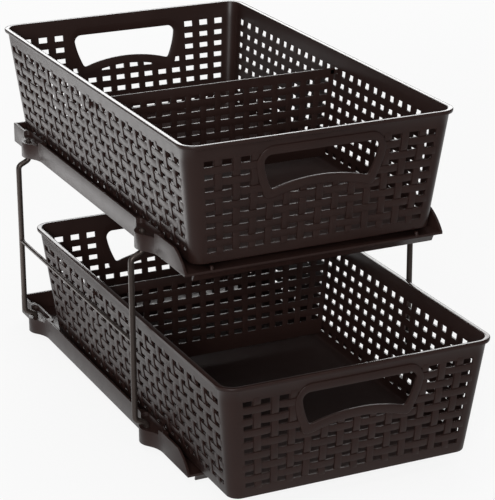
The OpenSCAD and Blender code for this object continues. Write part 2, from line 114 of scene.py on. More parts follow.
@dataclass
class Surface:
    """A mesh under construction, in millimetres.

    Attributes:
        points: Corners so far, one row each.
        faces: Faces so far, as lists of corner numbers.
        count: Number of corners so far.
    """

    points: list[np.ndarray] = field(default_factory=list)
    faces: list[list[int]] = field(default_factory=list)
    count: int = 0

    def add(self, points: np.ndarray, faces: list[list[int]], place: Matrix | None = None) -> None:
        """Adds points and faces, moved by a matrix if one is given.

        Args:
            points: Corners, one row each.
            faces: Faces, counted from the first of these corners.
            place: Matrix that moves the corners, if any.
        """
        pts = np.asarray(points, dtype=float).reshape(-1, 3)
        if place is not None:
            m = np.array(place)
            pts = pts @ m[:3, :3].T + m[:3, 3]
        self.faces += [[i + self.count for i in face] for face in faces]
        self.points.append(pts)
        self.count += len(pts)

    def add_mesh(self, mesh: bpy.types.Mesh, place: Matrix | None = None) -> None:
        """Adds a Blender mesh that holds millimetres, and removes it.

        Args:
            mesh: The mesh.
            place: Matrix that moves its corners, if any.
        """
        pts = np.empty(len(mesh.vertices) * 3)
        mesh.vertices.foreach_get("co", pts)
        self.add(pts, [list(p.vertices) for p in mesh.polygons], place)
        bpy.data.meshes.remove(mesh)

    def add_loft(self, loops: list[np.ndarray], closed: bool = False,
                 place: Matrix | None = None) -> None:
        """Joins closed loops of equal length with quads.

        Args:
            loops: Loops of corners, in order.
            closed: True if the last loop joins the first, else both ends get a cap.
            place: Matrix that moves the corners, if any.
        """
        size = len(loops[0])
        rows = len(loops)
        faces = []
        for k in range(rows if closed else rows - 1):
            a, b = k * size, ((k + 1) % rows) * size
            for i in range(size):
                j = (i + 1) % size
                faces.append([a + i, a + j, b + j, b + i])
        if not closed:
            faces.append(list(range(size))[::-1])
            faces.append([(rows - 1) * size + i for i in range(size)])
        self.add(np.vstack(loops), faces, place)

    def piece(self, name: str, material: bpy.types.Material) -> bpy.types.Object:
        """Makes the finished object, in metres at the origin, with all faces outwards.

        Args:
            name: Name of the piece.
            material: Its finish.

        Returns:
            The linked object.
        """
        mesh = bpy.data.meshes.new(name)
        mesh.from_pydata((np.vstack(self.points) * MM).tolist(), [], self.faces)
        work = bmesh.new()
        work.from_mesh(mesh)
        bmesh.ops.recalc_face_normals(work, faces=work.faces)
        work.to_mesh(mesh)
        work.free()
        return show(name, mesh, material)


def show(name: str, mesh: bpy.types.Mesh, material: bpy.types.Material) -> bpy.types.Object:
    """Links a mesh as a smooth-shaded piece.

    Args:
        name: Name of the piece.
        mesh: Its mesh, in metres.
        material: Its finish.

    Returns:
        The linked object.
    """
    mesh.materials.clear()
    mesh.materials.append(material)
    mesh.polygons.foreach_set("use_smooth", [True] * len(mesh.polygons))
    mesh.polygons.foreach_set("material_index", [0] * len(mesh.polygons))
    mesh.set_sharp_from_angle(angle=SMOOTH_ANGLE)
    mesh.update()
    made = bpy.data.objects.new(name, mesh)
    bpy.context.scene.collection.objects.link(made)
    return made


def finish_piece(piece: bpy.types.Object, body: str, slot: str, *nodes: str) -> None:
    """Lets a piece ride on a body and stand for CAD nodes.

    Args:
        piece: The piece.
        body: Body that it moves with.
        slot: Not used.
        *nodes: CAD nodes that it stands for.
    """
    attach(piece, body)
    if nodes:
        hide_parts(*nodes)
    triangles = sum(len(p.vertices) - 2 for p in piece.data.polygons)
    LOG.info("%s: %d triangles, on %s", piece.name, triangles, body)


def solid_box(node: str) -> tuple[Vector, Vector]:
    """Lowest and highest corner of a CAD node, in millimetres."""
    low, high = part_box(node)
    return Vector(low) / MM, Vector(high) / MM


def at_depth(outline: np.ndarray, depth: float) -> np.ndarray:
    """Points of a flat outline with a third coordinate."""
    return np.column_stack([outline, np.full(len(outline), depth)])


def arc(centre: tuple[float, float], radius: float, start: float, end: float,
        steps: int) -> np.ndarray:
    """Points of an arc in the plane.

    Args:
        centre: Centre of the arc.
        radius: Its radius.
        start: First angle, in degrees.
        end: Last angle, in degrees.
        steps: Number of equal steps.

    Returns:
        One row for each point.
    """
    a = np.radians(np.linspace(start, end, steps + 1))
    return np.column_stack([centre[0] + radius * np.cos(a), centre[1] + radius * np.sin(a)])


def rounded_corner(a: np.ndarray, b: np.ndarray, c: np.ndarray, radius: float,
                   steps: int) -> np.ndarray:
    """Arc that rounds the corner b of the path a, b, c.

    Args:
        a: Point before the corner.
        b: The corner.
        c: Point after the corner.
        radius: Radius of the arc.
        steps: Number of equal steps.

    Returns:
        One row for each point.
    """
    u = (a - b) / np.linalg.norm(a - b)
    v = (c - b) / np.linalg.norm(c - b)
    half = math.acos(float(np.clip(u @ v, -1, 1))) / 2
    centre = b + (u + v) / np.linalg.norm(u + v) * radius / math.sin(half)
    p = b + u * radius / math.tan(half) - centre
    q = b + v * radius / math.tan(half) - centre
    start = math.degrees(math.atan2(p[1], p[0]))
    turn = (math.degrees(math.atan2(q[1], q[0])) - start + 540) % 360 - 180
    return arc((centre[0], centre[1]), radius, start, start + turn, steps)


def path_mesh(name: str, lines: list[np.ndarray],
              numbers: dict[str, list[float]] | None = None) -> bpy.types.Mesh:
    """Makes a mesh of open paths.

    Args:
        name: Name of the mesh.
        lines: One array of points for each path.
        numbers: Named numbers, one for each point of all the paths.

    Returns:
        The mesh, which has edges only.
    """
    edges = []
    start = 0
    for line in lines:
        edges += [(start + i, start + i + 1) for i in range(len(line) - 1)]
        start += len(line)
    mesh = bpy.data.meshes.new(name)
    mesh.from_pydata(np.vstack(lines).tolist(), edges, [])
    for key, values in (numbers or {}).items():
        layer = mesh.attributes.new(key, "FLOAT", "POINT")
        layer.data.foreach_set("value", values)
    return mesh


# ---------------------------------------------------------------- node trees


class NodeTree:
    """A node tree under construction."""

    def __init__(self, tree: bpy.types.NodeTree) -> None:
        """Takes Blender's own tree."""
        self.tree = tree

    def feed(self, node: bpy.types.Node, inputs: dict[str | int, object]) -> None:
        """Fills inputs of a node.

        Args:
            node: The node.
            inputs: For each input a socket or a list of sockets to link from, or a plain value.
        """
        for key, value in inputs.items():
            sockets = value if isinstance(value, list) else [value]
            for socket in sockets:
                if isinstance(socket, Socket):
                    self.tree.links.new(socket, node.inputs[key])
                else:
                    node.inputs[key].default_value = socket

    def node(self, kind: str, inputs: dict[str | int, object] | None = None,
             **settings: object) -> bpy.types.Node:
        """Adds a node.

        Args:
            kind: Type of the node.
            inputs: What its inputs are filled with.
            **settings: Its properties.

        Returns:
            The node.
        """
        made = self.tree.nodes.new(kind)
        for key, value in settings.items():
            setattr(made, key, value)
        self.feed(made, inputs or {})
        return made

    def out(self, kind: str, output: str, inputs: dict[str | int, object] | None = None,
            **settings: object) -> Socket:
        """Adds a node as node() does, and gives the output of this name."""
        return self.node(kind, inputs, **settings).outputs[output]

    def math(self, operation: str, first: object, second: object) -> Socket:
        """Result of a math node whose operands are sockets or numbers."""
        return self.node("ShaderNodeMath", {0: first, 1: second}, operation=operation).outputs[0]

    def noise(self, place: Socket, size: float, detail: float) -> Socket:
        """Value of a noise texture with features of a size in mm."""
        values = {"Vector": place, "Scale": 1 / (size * MM), "Detail": detail}
        return self.out("ShaderNodeTexNoise", "Fac", values)

    def ramp(self, value: Socket, *stops: tuple[float, Colour]) -> Socket:
        """Colour that blends between two stops, each a position and a colour.

        Args:
            value: What the position is read from.
            *stops: The two stops.

        Returns:
            The colour.
        """
        made = self.node("ShaderNodeValToRGB", {"Fac": value})
        for element, (position, colour) in zip(made.color_ramp.elements, stops):
            element.position, element.color = position, (*colour, 1)
        return made.outputs["Color"]

    def spread(self, value: Socket, low: float, high: float) -> Socket:
        """Value from 0 to 1, mapped to a range."""
        values = {"Value": value, "To Min": low, "To Max": high}
        return self.out("ShaderNodeMapRange", "Result", values)

    def bump(self, height: Socket, depth: float) -> Socket:
        """Normal of a surface with bumps of a depth in mm."""
        values = {"Strength": 1.0, "Distance": depth * MM, "Height": height}
        return self.out("ShaderNodeBump", "Normal", values)


# ---------------------------------------------------------------- finishes


def new_material(name: str) -> tuple[bpy.types.Material, NodeTree, bpy.types.Node]:
    """Makes a node material.

    Args:
        name: Name of the material.

    Returns:
        The material, its tree and its shader node.
    """
    made = bpy.data.materials.new(name)
    made.use_nodes = True
    return made, NodeTree(made.node_tree), made.node_tree.nodes["Principled BSDF"]


@dataclass(frozen=True)
class MouldedPlastic:
    """Satin moulded plastic with a fine spark-eroded grain and faint flow shading.

    Attributes:
        name: Name of the material.
        grain: Size of the grain, mm.
        grain_depth: Depth of the grain, mm.
        deep: Darker colour, linear.
        pale: Lighter colour, linear.
        flow: Size of the flow shading, mm.
        cloud: Size of the patches of unlike roughness, mm.
        rough: Least and greatest roughness.
        specular: Specular level of the surface.
    """

    name: str
    grain: float = 0.55
    grain_depth: float = 0.018
    deep: Colour = (0.0225, 0.0112, 0.0094)
    pale: Colour = (0.0265, 0.0132, 0.011)
    flow: float = 38.0
    cloud: float = 9.0
    rough: tuple[float, float] = (0.3, 0.4)
    specular: float = 0.25

    def material(self) -> bpy.types.Material:
        """Builds the node material.

        Returns:
            The material.
        """
        made, tree, shader = new_material(self.name)
        place = tree.out("ShaderNodeTexCoord", "Object")
        wear = tree.out("ShaderNodeAttribute", "Fac", attribute_name=WEAR)
        rough = tree.spread(tree.noise(place, self.cloud, 5.0), *self.rough)
        flow = tree.noise(place, self.flow, 3.0)
        tree.feed(shader, {
            "Base Color": tree.ramp(flow, (0.32, self.deep), (0.68, self.pale)),
            "Roughness": tree.math("ADD", rough, wear),
            "Specular IOR Level": self.specular,
            "Normal": tree.bump(tree.noise(place, self.grain, 2.0), self.grain_depth),
        })
        return made


@dataclass(frozen=True)
class CoatedWire:
    """Bronze powder coat on steel wire, with slight orange peel and darker specks.

    Attributes:
        name: Name of the material.
        colour: Main colour, linear.
        speck: Colour of the specks, linear.
        speck_size: Size of the specks, mm.
        peel: Size of the orange peel, mm.
        peel_depth: Depth of the orange peel, mm.
        rough: Least and greatest roughness of the coat.
        metallic: Share of metal flake in the coat.
    """

    name: str
    colour: Colour = (0.055, 0.042, 0.036)
    speck: Colour = (0.02, 0.015, 0.013)
    speck_size: float = 0.7
    peel: float = 1.4
    peel_depth: float = 0.03
    rough: tuple[float, float] = (0.32, 0.44)
    metallic: float = 0.55

    def material(self) -> bpy.types.Material:
        """Builds the node material.

        Returns:
            The material.
        """
        made, tree, shader = new_material(self.name)
        place = tree.out("ShaderNodeTexCoord", "Object")
        values = {"Vector": place, "Scale": 1 / (self.speck_size * MM)}
        specks = tree.out("ShaderNodeTexVoronoi", "Distance", values)
        peel = tree.noise(place, self.peel, 2.0)
        tree.feed(shader, {
            "Base Color": tree.ramp(specks, (0.08, self.speck), (0.35, self.colour)),
            "Roughness": tree.spread(peel, *self.rough),
            "Metallic": self.metallic,
            "Normal": tree.bump(peel, self.peel_depth),
        })
        return made


# ---------------------------------------------------------------- Geometry Nodes


class Tree(NodeTree):
    """A Geometry Nodes tree with named inputs, run once on a path mesh."""

    def __init__(self, name: str, *sizes: str) -> None:
        """Makes a tree.

        Args:
            name: Name of the tree.
            *sizes: Names of its sizes.
        """
        super().__init__(bpy.data.node_groups.new(name, "GeometryNodeTree"))
        self.tree.is_modifier = True
        face = self.tree.interface
        for way in ("INPUT", "OUTPUT"):
            face.new_socket("Geometry", in_out=way, socket_type="NodeSocketGeometry")
        kinds = {**dict.fromkeys(sizes, "NodeSocketFloat"), "Finish": "NodeSocketMaterial"}
        self.sizes = {
            key: face.new_socket(key, in_out="INPUT", socket_type=kind).identifier
            for key, kind in kinds.items()
        }
        self.entry = self.node("NodeGroupInput").outputs
        self.build()

    def build(self) -> None:
        """Builds what lies between the tree's input and its end."""
        raise NotImplementedError

    def guide(self) -> Socket:
        """The path mesh as curves."""
        return self.out("GeometryNodeMeshToCurve", "Curve", {"Mesh": self.entry["Geometry"]})

    def attribute(self, name: str) -> Socket:
        """Reads a named number of the path mesh."""
        return self.out("GeometryNodeInputNamedAttribute", "Attribute", {"Name": name},
                        data_type="FLOAT")

    def rounded(self, curve: Socket, radius: Socket, count: int,
                limit: bool = False) -> Socket:
        """A curve with its corners rounded.

        Args:
            curve: The curve.
            radius: Radius of its corners.
            count: Points that each corner gets.
            limit: True if a radius may not run past the next corner.

        Returns:
            The rounded curve.
        """
        values = {"Curve": curve, "Radius": radius, "Count": count, "Limit Radius": limit}
        return self.out("GeometryNodeFilletCurve", "Curve", values, mode="POLY")

    def rectangle(self, width: str, height: str) -> Socket:
        """A rectangle whose two sizes are named inputs."""
        sizes = {"Width": self.entry[width], "Height": self.entry[height]}
        return self.out("GeometryNodeCurvePrimitiveQuadrilateral", "Curve", sizes, mode="RECTANGLE")

    def close_sweep(self, curve: Socket, profile: Socket) -> None:
        """Ends the tree with a capped sweep of a profile along a curve."""
        values = {"Curve": curve, "Profile Curve": profile, "Fill Caps": True}
        self.close(self.out("GeometryNodeCurveToMesh", "Mesh", values))

    def close(self, mesh: Socket) -> None:
        """Ends the tree with smooth shading, Realize Instances and Set Material.

        Args:
            mesh: What the tree has made.
        """
        smooth = self.out("GeometryNodeSetShadeSmooth", "Geometry", {"Geometry": mesh})
        real = self.out("GeometryNodeRealizeInstances", "Geometry", {"Geometry": smooth})
        values = {"Geometry": real, "Material": self.entry["Finish"]}
        paint = self.out("GeometryNodeSetMaterial", "Geometry", values)
        self.node("NodeGroupOutput", {"Geometry": paint})

    def run(self, paths: bpy.types.Mesh, **values: object) -> bpy.types.Mesh:
        """Runs the tree on a path mesh.

        Args:
            paths: Mesh of edges, which is removed.
            **values: Named inputs, with _ for a space.

        Returns:
            The plain mesh that comes out.
        """
        carrier = bpy.data.objects.new(paths.name, paths)
        bpy.context.scene.collection.objects.link(carrier)
        modifier = carrier.modifiers.new("shape", "NODES")
        modifier.node_group = self.tree
        for key, value in values.items():
            modifier[self.sizes[key.replace("_", " ")]] = value
        evaluated = carrier.evaluated_get(bpy.context.evaluated_depsgraph_get())
        made = bpy.data.meshes.new_from_object(evaluated)
        carrier.modifiers.remove(modifier)
        bpy.data.objects.remove(carrier)
        bpy.data.meshes.remove(paths)
        return made


class StripWeave(Tree):
    """Turns flat guide lines into woven strips that rise and dip from crossing to crossing."""

    def __init__(self) -> None:
        """Names the tree and its sizes."""
        super().__init__("strip_weave", "Strip Width", "Strip Thickness", "Edge Round",
                         "Wave Height", "Phase")

    def build(self) -> None:
        """Lifts every other crossing and sweeps a strip along the lines."""
        order = self.math("ADD", self.attribute("crossing"), self.attribute("strip"))
        order = self.math("MODULO", self.math("ADD", order, self.entry["Phase"]), 2.0)
        sign = self.math("SUBTRACT", 1.0, self.math("MULTIPLY", order, 2.0))
        height = self.math("MULTIPLY", sign, self.entry["Wave Height"])
        lift = self.out("ShaderNodeCombineXYZ", "Vector", {"Z": height})
        values = {"Geometry": self.guide(), "Offset": lift}
        moved = self.out("GeometryNodeSetPosition", "Geometry", values)
        upright = self.out("GeometryNodeSetCurveNormal", "Curve", {"Curve": moved}, mode="Z_UP")
        section = self.rectangle("Strip Width", "Strip Thickness")
        section = self.rounded(section, self.entry["Edge Round"], 2, limit=True)
        self.close_sweep(upright, section)


class WireSweep(Tree):
    """Bends round wire along a path, with a fillet at each corner."""

    def __init__(self) -> None:
        """Names the tree and its sizes."""
        super().__init__("wire_sweep", "Wire Radius", "Bend Radius")

    def build(self) -> None:
        """Rounds the path and sweeps a circle along it."""
        bent = self.rounded(self.guide(), self.entry["Bend Radius"], 10)
        values = {"Resolution": WIRE_SIDES, "Radius": self.entry["Wire Radius"]}
        section = self.out("GeometryNodeCurvePrimitiveCircle", "Curve", values, mode="RADIUS")
        self.close_sweep(bent, section)


class SlottedPlate(Tree):
    """Fills an outline, leaves slots and an opening in it, and gives it thickness."""

    def __init__(self) -> None:
        """Names the tree and its sizes."""
        super().__init__("slotted_plate", "Slot Width", "Slot Height", "Plate Thickness")

    def build(self) -> None:
        """Places a slot at every loose point and fills what is left between the curves."""
        stretch = self.attribute(STRETCH)
        loose = self.math("GREATER_THAN", stretch, 0.5)
        values = {"Mesh": self.entry["Geometry"], "Selection": loose}
        points = self.out("GeometryNodeMeshToPoints", "Points", values, mode="VERTICES")
        scale = self.out("ShaderNodeCombineXYZ", "Vector", {"X": 1.0, "Y": stretch, "Z": 1.0})
        slot = self.rectangle("Slot Width", "Slot Height")
        values = {"Points": points, "Instance": slot, "Scale": scale}
        placed = self.out("GeometryNodeInstanceOnPoints", "Instances", values)
        slots = self.out("GeometryNodeRealizeInstances", "Geometry", {"Geometry": placed})
        joined = self.join(self.guide(), slots)
        filled = self.out("GeometryNodeFillCurve", "Mesh", {"Curve": joined}, mode="TRIANGLES")
        down = self.math("MULTIPLY", self.entry["Plate Thickness"], -1.0)
        depth = self.out("ShaderNodeCombineXYZ", "Vector", {"Z": down})
        values = {"Mesh": filled, "Offset": depth, "Individual": False}
        sunk = self.out("GeometryNodeExtrudeMesh", "Mesh", values, mode="FACES")
        values = {"Geometry": self.join(filled, sunk), "Distance": 0.001}
        self.close(self.out("GeometryNodeMergeByDistance", "Geometry", values))

    def join(self, *parts: Socket) -> Socket:
        """Joins geometry."""
        return self.out("GeometryNodeJoinGeometry", "Geometry", {"Geometry": list(parts)})


# ---------------------------------------------------------------- woven panels


@dataclass(frozen=True)
class Relief:
    """Relief of the weave.

    Attributes:
        thickness: Thickness of a strip, mm.
        wave: Rise and fall of a strip to each side of its middle, mm.
        proud: Height of a raised strip above the plain wall, mm.
        edge: Radius of a strip's edges, mm.
        tail: Length of a strip's end on the plain border, mm.
        tail_slope: Length over which that end slopes down into the border, mm.
        buried: Depth of that end's tip below the border, mm.
        sunk: Depth of a strip that runs in under the border, mm.
        ramp: Share of a slot's width over which a strip sinks under the next one.
    """

    thickness: float = 1.1
    wave: float = 0.42
    proud: float = 0.2
    edge: float = 0.22
    tail: float = 2.6
    tail_slope: float = 0.9
    buried: float = 0.1
    sunk: float = 0.12
    ramp: float = 0.45


@dataclass(frozen=True)
class SlotGrid:
    """Grid of slots in one panel, in the panel's plane, with s running up from its top edge.

    Attributes:
        columns: Number of slot columns.
        rows: Number of slot rows.
        pitch: Spacing of the columns, mm.
        row_pitch: Spacing of the rows, mm.
        slot: Width and height of a slot, mm.
        first: Middle of the top row, mm.
        top_extra: Extra height of the top row, mm.
        edge_top: Outer edge of the outermost slots at s = 0, mm.
        edge_slope: Change of that edge for each millimetre up.
        fan: Number of outer columns that spread to follow that edge.
    """

    columns: int
    rows: int
    pitch: float
    row_pitch: float
    slot: tuple[float, float]
    first: float
    top_extra: float
    edge_top: float
    edge_slope: float
    fan: int = 3

    def edge(self, s: float) -> float:
        """Outer edge of the outermost slots at a height."""
        return self.edge_top + self.edge_slope * s

    def row(self, k: float) -> float:
        """Middle of a row, or of the gap below it for a half number."""
        return self.first - k * self.row_pitch

    @property
    def top(self) -> float:
        """Top of the top row."""
        return self.row(0) + self.slot[1] / 2 + self.top_extra

    @property
    def foot(self) -> float:
        """Bottom of the bottom row."""
        return self.row(self.rows - 1) - self.slot[1] / 2

    def window(self, lap: float, depth: float) -> np.ndarray:
        """Four corners around all the slots, grown by a distance, at a depth.

        Args:
            lap: Distance by which the corners are grown, mm.
            depth: Third coordinate, mm.

        Returns:
            One row for each corner.
        """
        low, high = self.edge(self.foot) + lap, self.edge(self.top) + lap
        foot, top = self.foot - lap, self.top + lap
        return np.array([[-low, foot, depth], [low, foot, depth],
                         [high, top, depth], [-high, top, depth]])

    def column(self, k: float, s: float) -> float:
        """Middle of a column, or of the gap after it for a half number, at a height.

        Args:
            k: Number of the column.
            s: Height, mm.

        Returns:
            Its distance from the panel's middle line.
        """
        middle = (self.columns - 1) / 2
        last = self.columns / 2 - 1
        spread = self.edge(s) - self.slot[0] / 2 - (last + 0.5) * self.pitch

        def place(c: float) -> float:
            """Middle of a whole column."""
            share = max(0.0, (abs(c - middle) - 0.5 - (last - self.fan)) / self.fan)
            return (c - middle) * self.pitch + math.copysign(1.0, c - middle) * spread * share

        if k == int(k):
            return place(k)
        return (place(math.floor(k)) + place(math.ceil(k))) / 2

    def strip_width(self, run: Run) -> float:
        """Width of a strip that runs one way."""
        return self.row_pitch - self.slot[1] if run is Run.ACROSS else self.pitch - self.slot[0]


@dataclass(frozen=True)
class HandOpening:
    """Hand opening of an end wall, with an arched lower edge and a raised frame.

    Attributes:
        width: Width along the top edge, mm.
        foot_width: Width along the bottom edge, mm.
        drop: Distance from the rim's top to the top edge, mm.
        height: Height at the two ends, mm.
        arch: Rise of the bottom edge in the middle, mm.
        bow: How far each side curves outwards in the middle, mm.
        corner: Radius of the top corners, mm.
        foot_corner: Radius of the bottom corners, mm.
        band: Width of the raised frame, mm.
        proud: Height of the frame above the wall, mm.
        soft: Width of the frame's softened edges, mm.
    """

    width: float = 101.0
    foot_width: float = 84.4
    drop: float = 16.4
    height: float = 30.3
    arch: float = 6.9
    bow: float = 1.9
    corner: float = 5.0
    foot_corner: float = 2.4
    band: float = 7.5
    proud: float = 0.85
    soft: float = 0.45

    @property
    def radius(self) -> float:
        """Radius of the arched lower edge."""
        return ((self.foot_width / 2) ** 2 + self.arch**2) / (2 * self.arch)

    @property
    def centre(self) -> float:
        """Height of the middle of that arch's circle."""
        return -self.drop - self.height + self.arch - self.radius

    def outline(self, grow: float) -> np.ndarray:
        """Outline of the opening in the wall's plane, grown by a distance.

        Args:
            grow: Distance by which the outline is grown, mm.

        Returns:
            One row for each point; every outline has the same number of points.
        """
        foot_radius = self.foot_corner + grow / 2
        radius = self.radius - grow
        lean = math.asin((self.foot_width / 2 + grow * 0.75) / radius)
        mirror = np.array([-1.0, 1.0])
        top_right = np.array([self.width / 2 + grow, grow - self.drop])
        foot_right = np.array([math.sin(lean), math.cos(lean)]) * radius + (0.0, self.centre)
        top_left, foot_left = top_right * mirror, foot_right * mirror
        along = np.array([-math.cos(lean), math.sin(lean)]) * foot_radius
        inner = math.degrees(lean - 1.3 * foot_radius / radius)
        first = rounded_corner(foot_right, top_right, top_left, self.corner + grow, 8)
        second = rounded_corner(top_right, top_left, foot_left, self.corner + grow, 8)
        third = rounded_corner(top_left, foot_left, foot_left + along * mirror, foot_radius, 5)
        last = rounded_corner(foot_right + along, foot_right, top_right, foot_radius, 5)
        straight = np.vstack([
            first, second, np.linspace(second[-1], third[0], 10)[1:-1], third,
            arc((0.0, self.centre), radius, 90 + inner, 90 - inner, 16),
            last, np.linspace(last[-1], first[0], 10)[1:-1],
        ])
        wider = 1 + self.bowed(straight[:, 1]) / (self.width / 2)
        return np.column_stack([straight[:, 0] * wider, straight[:, 1]])

    def bowed(self, s: float | np.ndarray) -> float | np.ndarray:
        """How far a side curves outwards at a height."""
        share = np.clip((-self.drop - s) / self.height, 0, 1)
        return self.bow * 4 * share * (1 - share)

    def half_width(self, s: float) -> float:
        """Half width to the middle of the frame at a height within the opening.

        Args:
            s: Height, mm.

        Returns:
            The half width, mm.
        """
        share = (-self.drop - s) / self.height
        half = self.width / 2 + (self.foot_width - self.width) / 2 * share
        return half + self.bowed(s) + self.band / 2

    def foot(self, x: float) -> float:
        """Height of the middle of the frame below the opening at x."""
        return self.centre + math.sqrt((self.radius - self.band / 2) ** 2 - x**2)

    def blocks_row(self, s: float) -> bool:
        """True if a strip that runs across at this height would cross the opening."""
        return -self.drop - self.height - self.band / 2 < s < -self.drop + self.band

    def blocks_column(self, x: float) -> bool:
        """True if an upright strip at this place would cross the opening."""
        return abs(x) < self.width / 2

    def clears(self, x: float, s: float, slot: tuple[float, float]) -> bool:
        """True if a slot at this place is clear of the opening and its frame.

        Args:
            x: Middle of the slot across, mm.
            s: Middle of the slot in height, mm.
            slot: Its width and height, mm.

        Returns:
            True or false.
        """
        beside = abs(x) < self.width / 2 + self.band and s > -self.drop - self.height
        far = abs(x) + slot[0] / 2
        below = far < self.foot_width / 2 and s - slot[1] / 2 > self.foot(far) - self.band / 2
        return not (beside or below)

    def frame(self, back: float) -> list[np.ndarray]:
        """Section loops of the raised frame, as a closed loft.

        Args:
            back: Depth of the frame's back below the wall's face, mm.

        Returns:
            One loop of points for each step of the section.
        """
        top, soft = self.proud, self.soft
        steps = [
            (self.band, -back), (self.band, top - soft), (self.band - soft / 3, top - soft / 3),
            (self.band - soft, top), (soft + 0.3, top), (0.22, top - 0.22),
            (0.0, top - soft - 0.3), (0.0, soft - back), (soft / 3, soft / 3 - back),
            (soft, -back),
        ]
        return [at_depth(self.outline(grow), z) for grow, z in steps]


@dataclass
class WovenPanel:
    """Woven strips of one flat panel, in the panel's plane.

    Attributes:
        grid: Slot grid that the strips leave open.
        relief: Relief of the weave.
        weave: Tree that shapes the strips.
        plate: Tree that cuts the slots of the flat layer behind them.
        finish: Material of the panel.
        depth: Thickness of the panel, mm.
        opening: Hand opening that the strips stop at, if any.
        skin: Thickness of the flat layer, mm.
        lap: How far the flat layer runs past the slots, mm.
        inset: How far the flat layer stands out from the plain wall's inner face, mm.
    """

    grid: SlotGrid
    relief: Relief
    weave: StripWeave
    plate: SlottedPlate
    finish: bpy.types.Material
    depth: float
    opening: HandOpening | None = None
    skin: float = 0.9
    lap: float = 1.5
    inset: float = 0.02

    def strips(self, run: Run) -> tuple[list[np.ndarray], dict[str, list[float]]]:
        """Guide lines of the strips that run one way.

        Args:
            run: Direction of the strips.

        Returns:
            The lines, and the crossing and strip number of each point.
        """
        lines: list[np.ndarray] = []
        numbers: dict[str, list[float]] = {"crossing": [], "strip": []}
        count = self.grid.rows - 1 if run is Run.ACROSS else self.grid.columns - 1
        for strip in range(count):
            for stops in self.stops(run, strip):
                lines.append(np.array([self.point(run, strip, at, lift) for at, _, lift in stops]))
                numbers["crossing"] += [float(crossing) for _, crossing, _ in stops]
                numbers["strip"] += [float(strip)] * len(stops)
        return lines, numbers

    def point(self, run: Run, strip: int, at: float, lift: float) -> tuple[float, float, float]:
        """Point of a guide line at a distance along its strip, lifted from its middle level.

        Args:
            run: Direction of the strip.
            strip: Its number.
            at: Distance along it, mm.
            lift: Height above its middle level, mm.

        Returns:
            The point.
        """
        level = self.relief.proud - self.relief.wave - self.relief.thickness / 2 + lift
        if run is Run.ACROSS:
            return (at, self.grid.row(strip + 0.5), level)
        return (self.grid.column(strip + 0.5, at), at, level)

    def stops(self, run: Run, strip: int) -> list[list[Stop]]:
        """Places along a strip where it runs level, split where the hand opening cuts it.

        Args:
            run: Direction of the strip.
            strip: Its number.

        Returns:
            For each piece of the strip, its places in order with their crossing numbers and lifts.
        """
        grid, relief = self.grid, self.relief
        level = 1 - relief.ramp

        def is_over(crossing: int) -> bool:
            """True if the strip runs over the other one at a crossing."""
            return (crossing + strip + run.value) % 2 == 0

        def reach(crossing: int, strip_width: float, gap: float) -> float:
            """Half length over which the strip runs level at a crossing."""
            return strip_width / 2 + (gap * level if is_over(crossing) else 0.0)

        def border(edge: float, inward: int, crossing: int, gap: float) -> list[Stop]:
            """Places of a strip's end on the plain border, from its tip inwards.

            Args:
                edge: Place where the border begins.
                inward: Direction into the panel, 1 or -1.
                crossing: Number of the crossing at the border.
                gap: Length of a slot along the strip.

            Returns:
                The places.
            """
            tip = edge - inward * relief.tail
            if is_over(crossing):
                return [
                    (tip, crossing, -relief.proud - relief.buried),
                    (tip + inward * relief.tail_slope, crossing, 0.0),
                    (edge + inward * reach(crossing, 0, gap), crossing, 0.0),
                ]
            lift = 2 * relief.wave - relief.proud - relief.sunk
            return [(tip, crossing, lift), (edge, crossing, lift)]

        if run is Run.ACROSS:
            s = grid.row(strip + 0.5)
            gap, last, inward = grid.slot[0], grid.columns, 1
            start, end = -grid.edge(s), grid.edge(s)
            middles = [grid.column(k + 0.5, s) for k in range(last - 1)]
            width = grid.strip_width(Run.UPRIGHT)
        else:
            gap, last, inward = grid.slot[1], grid.rows, -1
            start, end = grid.top, grid.foot
            middles = [grid.row(k + 0.5) for k in range(last - 1)]
            width = grid.strip_width(Run.ACROSS)
        places = border(start, inward, 0, gap)
        for crossing, middle in enumerate(middles, 1):
            half = inward * reach(crossing, width, gap)
            places += [(middle - half, crossing, 0.0), (middle + half, crossing, 0.0)]
        places += border(end, -inward, last, gap)[::-1]
        if self.opening and run is Run.ACROSS and self.opening.blocks_row(s):
            limit = self.opening.half_width(s)
            return [self.cut(places, -math.inf, -limit), self.cut(places, limit, math.inf)]
        if self.opening and run is Run.UPRIGHT:
            x = grid.column(strip + 0.5, grid.top)
            if self.opening.blocks_column(x):
                return [self.cut(places, -math.inf, self.opening.foot(x))]
        return [places]

    @staticmethod
    def cut(places: list[Stop], low: float, high: float) -> list[Stop]:
        """Keeps the places between two limits, and ends the strip at the limit itself.

        Args:
            places: Places along the strip, with their crossing numbers and lifts.
            low: Lower limit.
            high: Upper limit.

        Returns:
            The places that are left.
        """
        kept = [place for place in places if low < place[0] < high]
        rising = places[-1][0] > places[0][0]
        for limit, at_start in ((low, rising), (high, not rising)):
            if math.isfinite(limit):
                kept.insert(0 if at_start else len(kept), (limit, *kept[0 if at_start else -1][1:]))
        return kept

